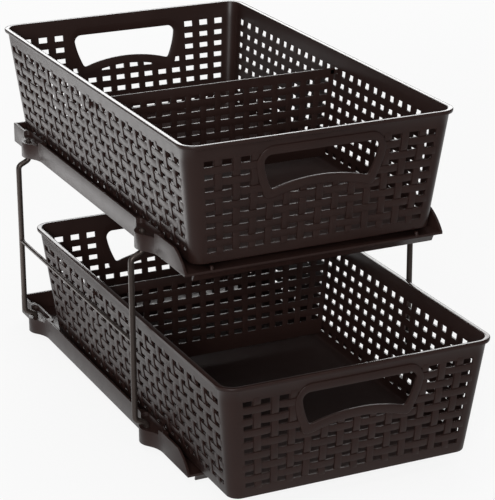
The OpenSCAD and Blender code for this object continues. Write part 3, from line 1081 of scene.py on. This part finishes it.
    def backing(self, into: Surface, place: Matrix) -> None:
        """Adds the flat inner layer of the panel, with its slots.

        Args:
            into: Surface that takes it.
            place: Matrix that moves the panel's plane into place.
        """
        grid = self.grid
        loops = [grid.window(self.lap, 0.0)]
        if self.opening:
            loops.append(at_depth(self.opening.outline(self.opening.band / 2), 0.0))
        slots, stretch = [], []
        for row in range(grid.rows):
            extra = grid.top_extra if row == 0 else 0.0
            s = grid.row(row)
            for x in (grid.column(column, s) for column in range(grid.columns)):
                if not self.opening or self.opening.clears(x, s, grid.slot):
                    slots.append((x, s + extra / 2, 0.0))
                    stretch.append(1 + extra / grid.slot[1])
        edges, first = [], 0
        for loop in loops:
            edges += [(first + i, first + (i + 1) % len(loop)) for i in range(len(loop))]
            first += len(loop)
        mesh = bpy.data.meshes.new("plate")
        mesh.from_pydata(np.vstack([*loops, np.array(slots)]).tolist(), edges, [])
        layer = mesh.attributes.new(STRETCH, "FLOAT", "POINT")
        layer.data.foreach_set("value", [0.0] * first + stretch)
        mesh = self.plate.run(mesh, Slot_Width=grid.slot[0], Slot_Height=grid.slot[1],
                              Plate_Thickness=self.skin, Finish=self.finish)
        sunk = self.skin - self.depth - self.inset
        into.add_mesh(mesh, place @ Matrix.Translation((0, 0, sunk)))

    def build(self, into: Surface, place: Matrix) -> None:
        """Adds the strips of both directions and the flat layer to a surface.

        Args:
            into: Surface that takes them.
            place: Matrix that moves the panel's plane into place.
        """
        for run in Run:
            mesh = self.weave.run(
                path_mesh("guides", *self.strips(run)),
                Strip_Width=self.grid.strip_width(run), Strip_Thickness=self.relief.thickness,
                Edge_Round=self.relief.edge, Wave_Height=self.relief.wave,
                Phase=float(run.value), Finish=self.finish,
            )
            into.add_mesh(mesh, place)
        self.backing(into, place)


# ---------------------------------------------------------------- basket


@dataclass
class Basket:
    """One moulded basket: plain corners, bands, rim and floor, woven walls and hand openings.

    Attributes:
        tier: Level that it belongs to.
        weave: Tree that shapes the strips.
        plate: Tree that cuts the slots.
        finish: Material of the moulding.
        wall: Thickness of the walls, mm.
        floor: Thickness of the floor, mm.
        side_lean: How far a side wall leans out over its height, mm.
        end_lean: The same for an end wall, mm.
        rim_out: How far the rim stands out from the walls, mm.
        rim_height: Height of the rim, mm.
        corner_top: Radius of the corners at the rim, mm.
        corner_foot: Radius of the corners at the foot, mm.
        foot_soft: Radius of the edge around the foot, mm.
        slot: Width and height of a slot, mm.
        end_pitch: Spacing of the slot columns of an end wall, mm.
        side_pitch: Spacing of the slot columns of a side wall, mm.
        row_pitch: Spacing of the slot rows, mm.
        first_row: Middle of the top row, mm below the rim as a negative number.
        top_extra: Extra height of the top row, mm.
        margin: Plain strip between a corner's curve and the outermost slots, mm.
        columns: Number of slot columns of an end wall and of a side wall.
        rows: Number of slot rows.
        corner_steps: Number of flat faces round a corner.
        floor_wear: Added roughness of the floor.
        rim_wear: Added roughness of the rim.
        opening: Hand opening of the end walls.
        relief: Relief of the weave.
    """

    tier: Tier
    weave: StripWeave
    plate: SlottedPlate
    finish: bpy.types.Material
    wall: float = 1.8
    floor: float = 2.0
    side_lean: float = 11.6
    end_lean: float = 14.0
    rim_out: float = 2.7
    rim_height: float = 3.2
    corner_top: float = 12.4
    corner_foot: float = 10.0
    foot_soft: float = 2.0
    slot: tuple[float, float] = (8.2, 4.4)
    end_pitch: float = 14.2
    side_pitch: float = 14.5
    row_pitch: float = 10.5
    first_row: float = -17.6
    top_extra: float = 1.0
    margin: float = 2.3
    columns: tuple[int, int] = (14, 26)
    rows: int = 8
    corner_steps: int = 10
    floor_wear: float = 0.5
    rim_wear: float = -0.2
    opening: HandOpening = HandOpening()
    relief: Relief = Relief()

    def __post_init__(self) -> None:
        """Reads the outer size and the place of the rim from the solid."""
        self.node = f"{self.tier.value}_basket"
        low, high = solid_box(self.node)
        size = high - low
        self.height = size.z
        self.half_w = size.x / 2 - self.rim_out
        self.half_d = size.y / 2 - self.rim_out
        self.origin = Vector(((low.x + high.x) / 2, (low.y + high.y) / 2, high.z))

    def half(self, wall: Wall, z: float) -> float:
        """Distance of a wall's face from the middle of the basket at a height."""
        half = self.half_d if wall.is_end else self.half_w
        return half + self.lean(wall) * z / self.height

    def corner(self, z: float) -> float:
        """Radius of the corners at a height."""
        return self.corner_top + (self.corner_top - self.corner_foot) * z / self.height

    def lean(self, wall: Wall) -> float:
        """How far a wall leans out over its height."""
        return self.end_lean if wall.is_end else self.side_lean

    def lean_angle(self, wall: Wall) -> float:
        """Angle by which a wall leans outwards from upright."""
        return math.atan(self.lean(wall) / self.height)

    def grid(self, wall: Wall) -> SlotGrid:
        """Slot grid of a wall.

        Args:
            wall: The wall.

        Returns:
            The grid, in the wall's plane.
        """
        slant = math.hypot(self.lean(wall), self.height)
        across = Wall.RIGHT if wall.is_end else Wall.FRONT
        flat_top = self.half(across, 0) - self.corner(0)
        flat_foot = self.half(across, -self.height) - self.corner(-self.height)
        return SlotGrid(
            columns=self.columns[0 if wall.is_end else 1], rows=self.rows,
            pitch=self.end_pitch if wall.is_end else self.side_pitch, row_pitch=self.row_pitch,
            slot=self.slot, first=self.first_row, top_extra=self.top_extra,
            edge_top=flat_top - self.margin, edge_slope=(flat_top - flat_foot) / slant,
        )

    def loop(self, z: float, grow: float) -> np.ndarray:
        """Closed loop round the basket at a height.

        Args:
            z: Height below the rim's top, as a negative number.
            grow: Distance outwards from the wall's face.

        Returns:
            Points in order, counter-clockwise from the front wall's left end.
        """
        hw, hd = self.half(Wall.RIGHT, z), self.half(Wall.FRONT, z)
        r = self.corner(z)
        points: list[np.ndarray] = []
        for wall in Wall:
            near, far = (hd, hw) if wall.is_end else (hw, hd)
            window = self.grid(wall).edge(z / math.cos(self.lean_angle(wall)))
            local = np.vstack([
                [[-window, -near - grow], [window, -near - grow]],
                arc((far - r, -near + r), r + grow, -90, 0, self.corner_steps),
            ])
            a = math.radians(wall.value)
            turn = np.array([[math.cos(a), -math.sin(a)], [math.sin(a), math.cos(a)]])
            points.append(local @ turn.T)
        return at_depth(np.vstack(points), z)

    def shell(self, into: Surface) -> None:
        """Adds the plain moulding: floor, corners, bands and rim, with a window in each wall.

        Args:
            into: Surface that takes it, in the basket's own place.
        """
        end_cos = math.cos(self.lean_angle(Wall.FRONT))
        grid = self.grid(Wall.FRONT)
        foot, top = grid.foot * end_cos, grid.top * end_cos
        low, out, rim, wall = -self.height, self.rim_out, self.rim_height, self.wall
        outer = [(low, -self.foot_soft), (low + 0.25, -self.foot_soft * 0.45),
                 (low + 0.7, -0.28), (low + 1.4, -0.05)]
        lip = [
            (-rim - 0.5, 0.0), (-rim - 0.1, 0.35), (-rim, out - 0.5), (-rim + 0.15, out - 0.15),
            (-rim + 0.5, out), (-1.1, out), (-0.5, out - 0.15), (-0.15, out - 0.5),
            (0.0, out - 1.1), (0.0, 0.6 - wall), (-0.15, 0.15 - wall), (-0.6, -wall),
        ]
        floor = low + self.floor
        inner = [(floor + 2.2, -wall), (floor + 0.9, -wall - 0.25),
                 (floor + 0.25, -wall - 0.9), (floor, -wall - 2.2)]
        steps = [*outer, (foot, 0.0), (top, 0.0), *lip, (top, -wall), (foot, -wall), *inner]
        loops = [self.loop(z, grow) for z, grow in steps]
        size = len(loops[0])
        out_foot = len(outer)
        in_top = out_foot + 2 + len(lip)
        starts = [k * size // 4 for k in range(4)]
        faces: list[list[int]] = [list(range(size))[::-1]]
        for k in range(len(loops) - 1):
            for i in range(size):
                if k in (out_foot, in_top) and i in starts:
                    continue
                j = (i + 1) % size
                near, far = k * size, (k + 1) * size
                faces.append([near + i, near + j, far + j, far + i])
        faces.append([(len(loops) - 1) * size + i for i in range(size)])
        for a in starts:
            b = a + 1
            of, ot, it, inf = (k * size for k in (out_foot, out_foot + 1, in_top, in_top + 1))
            faces += [
                [of + a, of + b, inf + b, inf + a], [it + a, it + b, ot + b, ot + a],
                [of + a, inf + a, it + a, ot + a], [inf + b, of + b, ot + b, it + b],
            ]
        into.add(np.vstack(loops), faces)

    def wall_place(self, wall: Wall) -> Matrix:
        """Matrix that stands a flat panel on a wall's outer face.

        Args:
            wall: The wall.

        Returns:
            The matrix, in the basket's own place.
        """
        a = self.lean_angle(wall)
        front = Matrix((
            (1, 0, 0, 0),
            (0, -math.sin(a), -math.cos(a), -self.half(wall, 0)),
            (0, math.cos(a), -math.sin(a), 0),
            (0, 0, 0, 1),
        ))
        return Matrix.Rotation(math.radians(wall.value), 4, "Z") @ front

    def build(self) -> None:
        """Builds the basket as one piece."""
        made = Surface()
        self.shell(made)
        for wall in Wall:
            place = self.wall_place(wall)
            opening = self.opening if wall.is_end else None
            depth = self.wall * math.cos(self.lean_angle(wall))
            WovenPanel(
                self.grid(wall), self.relief, self.weave, self.plate, self.finish, depth, opening
            ).build(made, place)
            if opening:
                made.add_loft(opening.frame(self.wall + 0.1), closed=True, place=place)
        made.points = [pts + np.array(self.origin) for pts in made.points]
        piece = made.piece(f"{self.node}_moulding", self.finish)
        self.mark_wear(piece.data)
        finish_piece(piece, f"{self.tier.value}_drawer", "basket_plastic", self.node)

    def mark_wear(self, mesh: bpy.types.Mesh) -> None:
        """Writes the change of roughness at each corner: a matt floor and a polished rim.

        Args:
            mesh: Mesh of the basket, in metres.
        """
        heights = np.empty(len(mesh.vertices) * 3)
        mesh.vertices.foreach_get("co", heights)
        below_rim = self.origin.z - heights[2::3] / MM
        above_floor = self.height - self.floor - below_rim
        floor = np.where(above_floor > -0.01, np.clip(1 - above_floor / 2, 0, 1), 0.0)
        rim = np.clip(1 - below_rim / 0.5, 0, 1)
        wear = self.floor_wear * floor + self.rim_wear * rim
        mesh.attributes.new(WEAR, "FLOAT", "POINT").data.foreach_set("value", wear)


# ---------------------------------------------------------------- divider


@dataclass
class Divider:
    """Woven partition that hangs across a basket on two hooks.

    Attributes:
        basket: Basket that it hangs in.
        gap: Gap between its ends and the basket's walls, mm.
        drop: Distance of its top edge below the rim, mm.
        lift: Distance of its bottom edge above the floor, mm.
        band: Distance from its top edge to the middle of the top row, mm.
        pitch: Spacing of the slot columns, mm.
        margin: Plain strip between its ends and the outermost slots, mm.
        columns: Number of slot columns.
        rows: Number of slot rows.
        soft: Width of its softened edges, mm.
        hook_height: Height of a hook's arm, mm.
        hook_tip: Length of a hook's turned-down tip, mm.
        hook_thick: Thickness of that tip, mm.
        hook_root: How far a hook runs into the plate, mm.
        play: Gap between a hook and the lower edge of its slot, mm.
        relief: Relief of the weave.
    """

    basket: Basket
    gap: float = 1.2
    drop: float = 14.2
    lift: float = 6.5
    band: float = 10.3
    pitch: float = 13.6
    margin: float = 4.3
    columns: int = 16
    rows: int = 6
    soft: float = 0.25
    hook_height: float = 3.6
    hook_tip: float = 2.6
    hook_thick: float = 1.6
    hook_root: float = 4.0
    play: float = 0.3
    relief: Relief = Relief(thickness=0.9, wave=0.2, proud=0.1, edge=0.2, tail=2.2, sunk=0.1)

    def half(self, z: float) -> float:
        """Half width of the divider at a height below the rim's top."""
        return self.basket.half(Wall.RIGHT, z) - self.basket.wall - self.gap

    def grid(self) -> SlotGrid:
        """Slot grid, with s running up from the basket's rim.

        Returns:
            The grid.
        """
        basket = self.basket
        return SlotGrid(
            columns=self.columns, rows=self.rows, pitch=self.pitch, row_pitch=basket.row_pitch,
            slot=basket.slot, first=-self.drop - self.band, top_extra=0.0,
            edge_top=self.half(0) - self.margin, edge_slope=basket.side_lean / basket.height,
        )

    def border(self, thick: float) -> list[np.ndarray]:
        """Section loops of the plain border, from its outline in to the window.

        Args:
            thick: Thickness of the divider, mm.

        Returns:
            Four-cornered loops that close on themselves as a loft.
        """
        grid = self.grid()
        top, foot = -self.drop, -self.basket.height + self.basket.floor + self.lift
        bevel = 0.08

        def outline(shrink: float, depth: float) -> np.ndarray:
            """Outer corners, set in by a distance.

            Args:
                shrink: That distance, mm.
                depth: Third coordinate, mm.

            Returns:
                One row for each corner.
            """
            high, low = top - shrink, foot + shrink
            wide, narrow = self.half(high) - shrink, self.half(low) - shrink
            return np.array([[-narrow, low, depth], [narrow, low, depth],
                             [wide, high, depth], [-wide, high, depth]])

        return [
            outline(self.soft, 0.0), outline(bevel, -bevel), outline(0.0, -self.soft),
            outline(0.0, self.soft - thick), outline(bevel, bevel - thick),
            outline(self.soft, -thick), grid.window(0.0, -thick), grid.window(0.0, 0.0),
        ]

    def hook(self, into: Surface, side: Side, reach: float, thick: float) -> None:
        """Adds one hook: an arm through the wall and a tip that turns down outside it.

        Args:
            into: Surface that takes it, in the basket's own place.
            side: Side of the hook.
            reach: Distance of its tip's outer face from the middle.
            thick: Thickness of the divider.
        """
        basket = self.basket
        slot_foot = basket.first_row * math.cos(basket.lean_angle(Wall.RIGHT)) - basket.slot[1] / 2
        foot = slot_foot + self.play
        top = foot + self.hook_height
        root = self.half(-self.drop) - self.hook_root
        throat, tip = reach - self.hook_thick, foot - self.hook_tip
        inside, outside, blunt = 0.6, 1.8, 0.3
        outline = np.vstack([
            [[root, foot], [throat - inside, foot]],
            arc((throat - inside, foot - inside), inside, 90, 0, 4)[1:],
            [[throat, tip + blunt], [throat + blunt, tip], [reach - blunt, tip],
             [reach, tip + blunt]],
            arc((reach - outside, top - outside), outside, 0, 90, 6),
            [[root, top]],
        ])
        outline[:, 0] *= side.value
        into.add_loft([at_depth(outline, depth) for depth in (0.0, -thick)])

    def build(self) -> None:
        """Builds the divider as one piece."""
        basket = self.basket
        node = f"{basket.tier.value}_divider"
        low, high = solid_box(node)
        thick = high.y - low.y
        made = Surface()
        made.add_loft(self.border(thick), closed=True)
        for side in Side:
            self.hook(made, side, (high.x - low.x) / 2, thick)
        WovenPanel(
            self.grid(), self.relief, basket.weave, basket.plate, basket.finish, thick,
            skin=thick - 0.5,
        ).build(made, Matrix.Identity(4))
        stand = Matrix((
            (1, 0, 0, basket.origin.x),
            (0, 0, -1, low.y),
            (0, 1, 0, basket.origin.z),
            (0, 0, 0, 1),
        ))
        placed = Surface()
        placed.add(np.vstack(made.points), made.faces, stand)
        piece = placed.piece(f"{node}_moulding", basket.finish)
        finish_piece(piece, f"{basket.tier.value}_drawer", "basket_plastic", node)


# ---------------------------------------------------------------- tray


@dataclass
class Tray:
    """One moulded tray: the solid's own form with softened edges.

    Attributes:
        tier: Level that it belongs to.
        finish: Material of the moulding.
        edge: Width of the softened edges, mm.
        merge: Distance within which corners are one, mm.
        flat: Angle below which two faces are one, degrees.
        sharp: Angle above which an edge is softened, degrees.
    """

    tier: Tier
    finish: bpy.types.Material
    edge: float = 0.45
    merge: float = 0.005
    flat: float = 0.8
    sharp: float = 35.0

    def build(self) -> None:
        """Builds the tray as one piece."""
        node = f"{self.tier.value}_tray"
        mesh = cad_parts[node].data.copy()
        work = bmesh.new()
        work.from_mesh(mesh)
        bmesh.ops.remove_doubles(work, verts=work.verts, dist=self.merge * MM)
        bmesh.ops.dissolve_limit(
            work, angle_limit=math.radians(self.flat), verts=work.verts, edges=work.edges
        )
        limit = math.radians(self.sharp)
        sharp = [
            e for e in work.edges if len(e.link_faces) == 2 and e.calc_face_angle(0.0) > limit
        ]
        bmesh.ops.bevel(
            work, geom=sharp, offset=self.edge * MM, offset_type="OFFSET", segments=2,
            profile=0.5, affect="EDGES", clamp_overlap=True,
        )
        work.to_mesh(mesh)
        work.free()
        mesh.name = f"{node}_moulding"
        piece = show(mesh.name, mesh, self.finish)
        finish_piece(piece, "stand", "tray_plastic", node)


# ---------------------------------------------------------------- wires


@dataclass
class WireLeg:
    """One bent wire leg with a domed pin at its top.

    Attributes:
        side: Side that it stands on.
        end: End that it stands at.
        sweep: Tree that bends the wire.
        finish: Material of the coat.
        diameter: Diameter of the wire, mm.
        bend: Radius of its bends, mm.
        jog_height: Height over which it steps sideways, mm.
        upper_jog: Distance of the upper step's top below the pin's top, mm.
        lower_jog: Distance of the lower step's foot above the wire's foot, mm.
        dome_share: Height of the pin's dome as a share of the diameter.
        dome_steps: Number of rings of that dome.
    """

    side: Side
    end: End
    sweep: WireSweep
    finish: bpy.types.Material
    diameter: float = 5.0
    bend: float = 5.0
    jog_height: float = 5.0
    upper_jog: float = 19.616
    lower_jog: float = 15.516
    dome_share: float = 0.35
    dome_steps: int = 7

    def build(self) -> None:
        """Builds the leg as one piece."""
        node = f"{self.side.name}_{self.end.name}_leg".lower()
        low, high = solid_box(node)
        r = self.diameter / 2
        y = (low.y + high.y) / 2
        inner, outer = low.x + r, high.x - r
        if self.side is not Side.RIGHT:
            inner, outer = outer, inner
        dome = self.diameter * self.dome_share
        upper, lower = high.z - self.upper_jog, low.z + self.lower_jog
        path = np.array([
            (inner, y, high.z - dome), (inner, y, upper), (outer, y, upper - self.jog_height),
            (outer, y, lower + self.jog_height), (inner, y, lower), (inner, y, low.z),
        ])
        made = Surface()
        made.add_mesh(self.sweep.run(
            path_mesh("wire", [path]), Wire_Radius=r, Bend_Radius=self.bend, Finish=self.finish
        ))
        ball = (r * r + dome * dome) / (2 * dome)
        edge = math.asin(r / ball)
        loops = []
        for step in range(self.dome_steps):
            a = edge * (1 - step / self.dome_steps)
            ring = arc((inner, y), ball * math.sin(a), 0, 360, WIRE_SIDES)[:-1]
            height = high.z - ball + ball * math.cos(a)
            loops.append(np.column_stack([ring, np.full(WIRE_SIDES, height)]))
        made.add_loft(loops)
        piece = made.piece(f"{node}_wire", self.finish)
        finish_piece(piece, "stand", "wire", node)


@dataclass
class SideRail:
    """One straight rail with a weld bead where it meets each leg.

    Attributes:
        side: Side that it lies on.
        sweep: Tree that shapes the wire.
        finish: Material of the coat.
        diameter: Diameter of the wire, mm.
        bead: How far a bead stands out from the wire, mm.
        ripple: Share by which the bead's outline swells and shrinks.
        ripples: Number of swellings round the wire.
        turn_step: Angle between two corners of the bead's outline, degrees.
    """

    side: Side
    sweep: WireSweep
    finish: bpy.types.Material
    diameter: float = 3.5
    bead: float = 0.7
    ripple: float = 0.12
    ripples: int = 5
    turn_step: int = 15

    def build(self) -> None:
        """Builds the rail as one piece and its two weld beads as two more."""
        node = f"{self.side.name.lower()}_side_rail"
        low, high = solid_box(node)
        x, z = (low.x + high.x) / 2, (low.z + high.z) / 2
        ends = [(x, y, z) for y in (low.y, high.y)]
        made = Surface()
        made.add_mesh(self.sweep.run(
            path_mesh("rail", [np.array(ends)]), Wire_Radius=self.diameter / 2, Bend_Radius=0.0,
            Finish=self.finish,
        ))
        piece = made.piece(f"{node}_wire", self.finish)
        finish_piece(piece, "stand", "wire", node)
        for end, place in zip(End, ends):
            self.weld(end, *place)

    def weld(self, end: End, x: float, y: float, z: float) -> None:
        """Adds the bead round one end of the rail.

        Args:
            end: Which end.
            x: Place of that end across, mm.
            y: Its place from front to back, mm.
            z: Its height, mm.
        """
        turns = np.radians(np.arange(0, 360, self.turn_step))
        loops = []
        for along, extra in (
            (-0.6, 0.1), (-0.3, self.bead * 0.85), (0.2, self.bead), (0.8, self.bead * 0.7),
            (1.5, self.bead * 0.3), (2.1, -0.05),
        ):
            wave = 1 + self.ripple * np.sin(self.ripples * turns + along * 2)
            radius = self.diameter / 2 + extra * wave
            loops.append(np.column_stack([
                x + radius * np.cos(turns), np.full(len(turns), y + end.value * along),
                z + radius * np.sin(turns),
            ]))
        made = Surface()
        made.add_loft(loops)
        piece = made.piece(f"{self.side.name}_{end.name}_weld".lower(), self.finish)
        finish_piece(piece, "stand", "wire")


# ---------------------------------------------------------------- studio


@dataclass
class Studio:
    """Pale floor, white surroundings and soft lights.

    Attributes:
        floor_size: Side of the floor, m.
        grey: Shade of the floor.
        glow: Share of the floor's own light where the camera or a reflection sees it.
        dim: Strength of that light in reflections of the floor in front of the object, a painted
            shade there.
        fill: Strength of the light from all round.
        aim: Point that the lamps face, m.
    """

    floor_size: float = 16.0
    grey: float = 0.86
    glow: float = 0.88
    dim: float = 0.22
    fill: float = 0.12
    aim: tuple[float, float, float] = (0.0, 0.0, 0.14)

    def world(self) -> None:
        """Makes the plain pale surroundings."""
        world = bpy.data.worlds.new("surroundings")
        world.use_nodes = True
        back = world.node_tree.nodes["Background"]
        back.inputs["Color"].default_value = (1, 1, 1, 1)
        back.inputs["Strength"].default_value = self.fill
        bpy.context.scene.world = world

    def paint(self) -> bpy.types.Material:
        """Creates the floor's material, which is near white to the camera and keeps shadows.

        Returns:
            The material.
        """
        paint, tree, shader = new_material("pale_floor")
        tree.feed(shader, {
            "Base Color": (self.grey, self.grey, self.grey, 1), "Roughness": 0.9,
            "Specular IOR Level": 0.1,
        })
        rays = tree.node("ShaderNodeLightPath").outputs
        seen = tree.math("MAXIMUM", rays["Is Camera Ray"], rays["Is Glossy Ray"])
        seen = tree.math("MAXIMUM", seen, rays["Is Transmission Ray"])
        share = tree.spread(seen, 0.0, self.glow)
        place = tree.out("ShaderNodeTexCoord", "Object")
        depth = tree.out("ShaderNodeSeparateXYZ", "Y", {"Vector": place})
        # Painted shade: reflections see the floor's glow fade to the dim strength in front of the
        # object, while the camera still sees it at full strength.
        fade = tree.out("ShaderNodeMapRange", "Result", {
            "Value": depth, "From Min": -0.5, "From Max": 0.1, "To Min": self.dim, "To Max": 1.0,
        }, interpolation_type="SMOOTHSTEP")
        level = tree.math("MAXIMUM", rays["Is Camera Ray"], fade)
        light = tree.out("ShaderNodeEmission", "Emission", {"Strength": level})
        values = {0: share, 1: shader.outputs["BSDF"], 2: light}
        mixed = tree.out("ShaderNodeMixShader", "Shader", values)
        tree.feed(tree.tree.nodes["Material Output"], {"Surface": mixed})
        return paint

    def floor(self) -> None:
        """Makes the floor, which keeps the object's shadow."""
        half = self.floor_size / 2
        mesh = bpy.data.meshes.new("floor")
        corners = [(-half, -half, 0), (half, -half, 0), (half, half, 0), (-half, half, 0)]
        mesh.from_pydata(corners, [], [(0, 1, 2, 3)])
        show("floor", mesh, self.paint())

    def lamp(
        self, name: str, place: tuple[float, float, float], size: tuple[float, float], power: float
    ) -> bpy.types.Object:
        """Adds a soft lamp that faces the object.

        Args:
            name: Name of the lamp.
            place: Its place, m.
            size: Its width and height, m.
            power: Its power, W.

        Returns:
            The lamp.
        """
        light = bpy.data.lights.new(name, "AREA")
        light.shape = "RECTANGLE"
        light.size, light.size_y = size
        light.energy = power
        lamp = bpy.data.objects.new(name, light)
        lamp.location = place
        aim = Vector(self.aim) - Vector(place)
        lamp.rotation_euler = aim.to_track_quat("-Z", "Y").to_euler()
        lamp.visible_camera = False
        bpy.context.scene.collection.objects.link(lamp)
        return lamp

    def build(self) -> None:
        """Builds the studio; the board lies beside the left wall, for the sheen on that wall."""
        self.world()
        self.floor()
        self.lamp("overhead", (-0.2, -0.2, 2.3), (2.2, 1.6), 18)
        self.lamp("front", (-1.5, -2.5, 1.25), (1.2, 0.9), 58)
        self.lamp("back", (1.1, 2.45, 1.15), (2.4, 0.7), 31)
        wide, deep = 0.24, 0.9
        board = self.lamp("board", (-0.35, 0.5, 0.004), (wide, deep), 2 * math.pi * wide * deep)
        board.rotation_euler = (math.pi, 0, 0)
        bpy.context.scene.view_settings.view_transform = "Standard"


@dataclass
class PhotoCamera:
    """Camera at the photograph's viewing angle.

    Attributes:
        place: Its place, mm.
        yaw: Turn to the right of straight at the front, degrees.
        pitch: Tilt down, degrees.
        roll: Roll, degrees.
        focal: Focal length in pixels of the photograph.
        long_side: Longer side of the photograph, pixels.
        sensor: Width of the sensor, mm.
    """

    place: tuple[float, float, float] = (-713.84, -1561.91, 755.16)
    yaw: float = 25.03
    pitch: float = 20.07
    roll: float = -0.282
    focal: float = 2107.0
    long_side: float = 500.0
    sensor: float = 36.0

    def build(self) -> None:
        """Builds the camera and makes it the scene's own."""
        yaw, pitch, roll = (math.radians(a) for a in (self.yaw, self.pitch, self.roll))
        level = math.cos(pitch)
        right = Vector((math.cos(yaw), -math.sin(yaw), 0))
        ahead = Vector((math.sin(yaw) * level, math.cos(yaw) * level, -math.sin(pitch)))
        up = right.cross(ahead)
        across = right * math.cos(roll) + up * math.sin(roll)
        upward = up * math.cos(roll) - right * math.sin(roll)
        data = bpy.data.cameras.new("photo_camera")
        data.sensor_width = self.sensor
        data.lens = self.focal * self.sensor / self.long_side
        data.clip_start, data.clip_end = 0.05, 60
        camera = bpy.data.objects.new("photo_camera", data)
        turn = Matrix((across, upward, -ahead)).transposed().to_4x4()
        camera.matrix_world = Matrix.Translation(Vector(self.place) * MM) @ turn
        bpy.context.scene.collection.objects.link(camera)
        bpy.context.scene.camera = camera


# ---------------------------------------------------------------- order of work


def main() -> None:
    """Builds every piece in order."""
    logging.basicConfig(level=logging.INFO, format="%(name)s: %(message)s")
    espresso = MouldedPlastic("espresso_plastic").material()
    tray_plastic = MouldedPlastic("tray_plastic", grain=0.7).material()
    bronze = CoatedWire("bronze_coat").material()
    weave, plate, sweep = StripWeave(), SlottedPlate(), WireSweep()
    for tier in Tier:
        basket = Basket(tier, weave, plate, espresso)
        basket.build()
        Divider(basket).build()
        Tray(tier, tray_plastic).build()
    for side in Side:
        for end in End:
            WireLeg(side, end, sweep, bronze).build()
        SideRail(side, sweep, bronze).build()
    Studio().build()
    PhotoCamera().build()


if __name__ == "__main__":
    main()
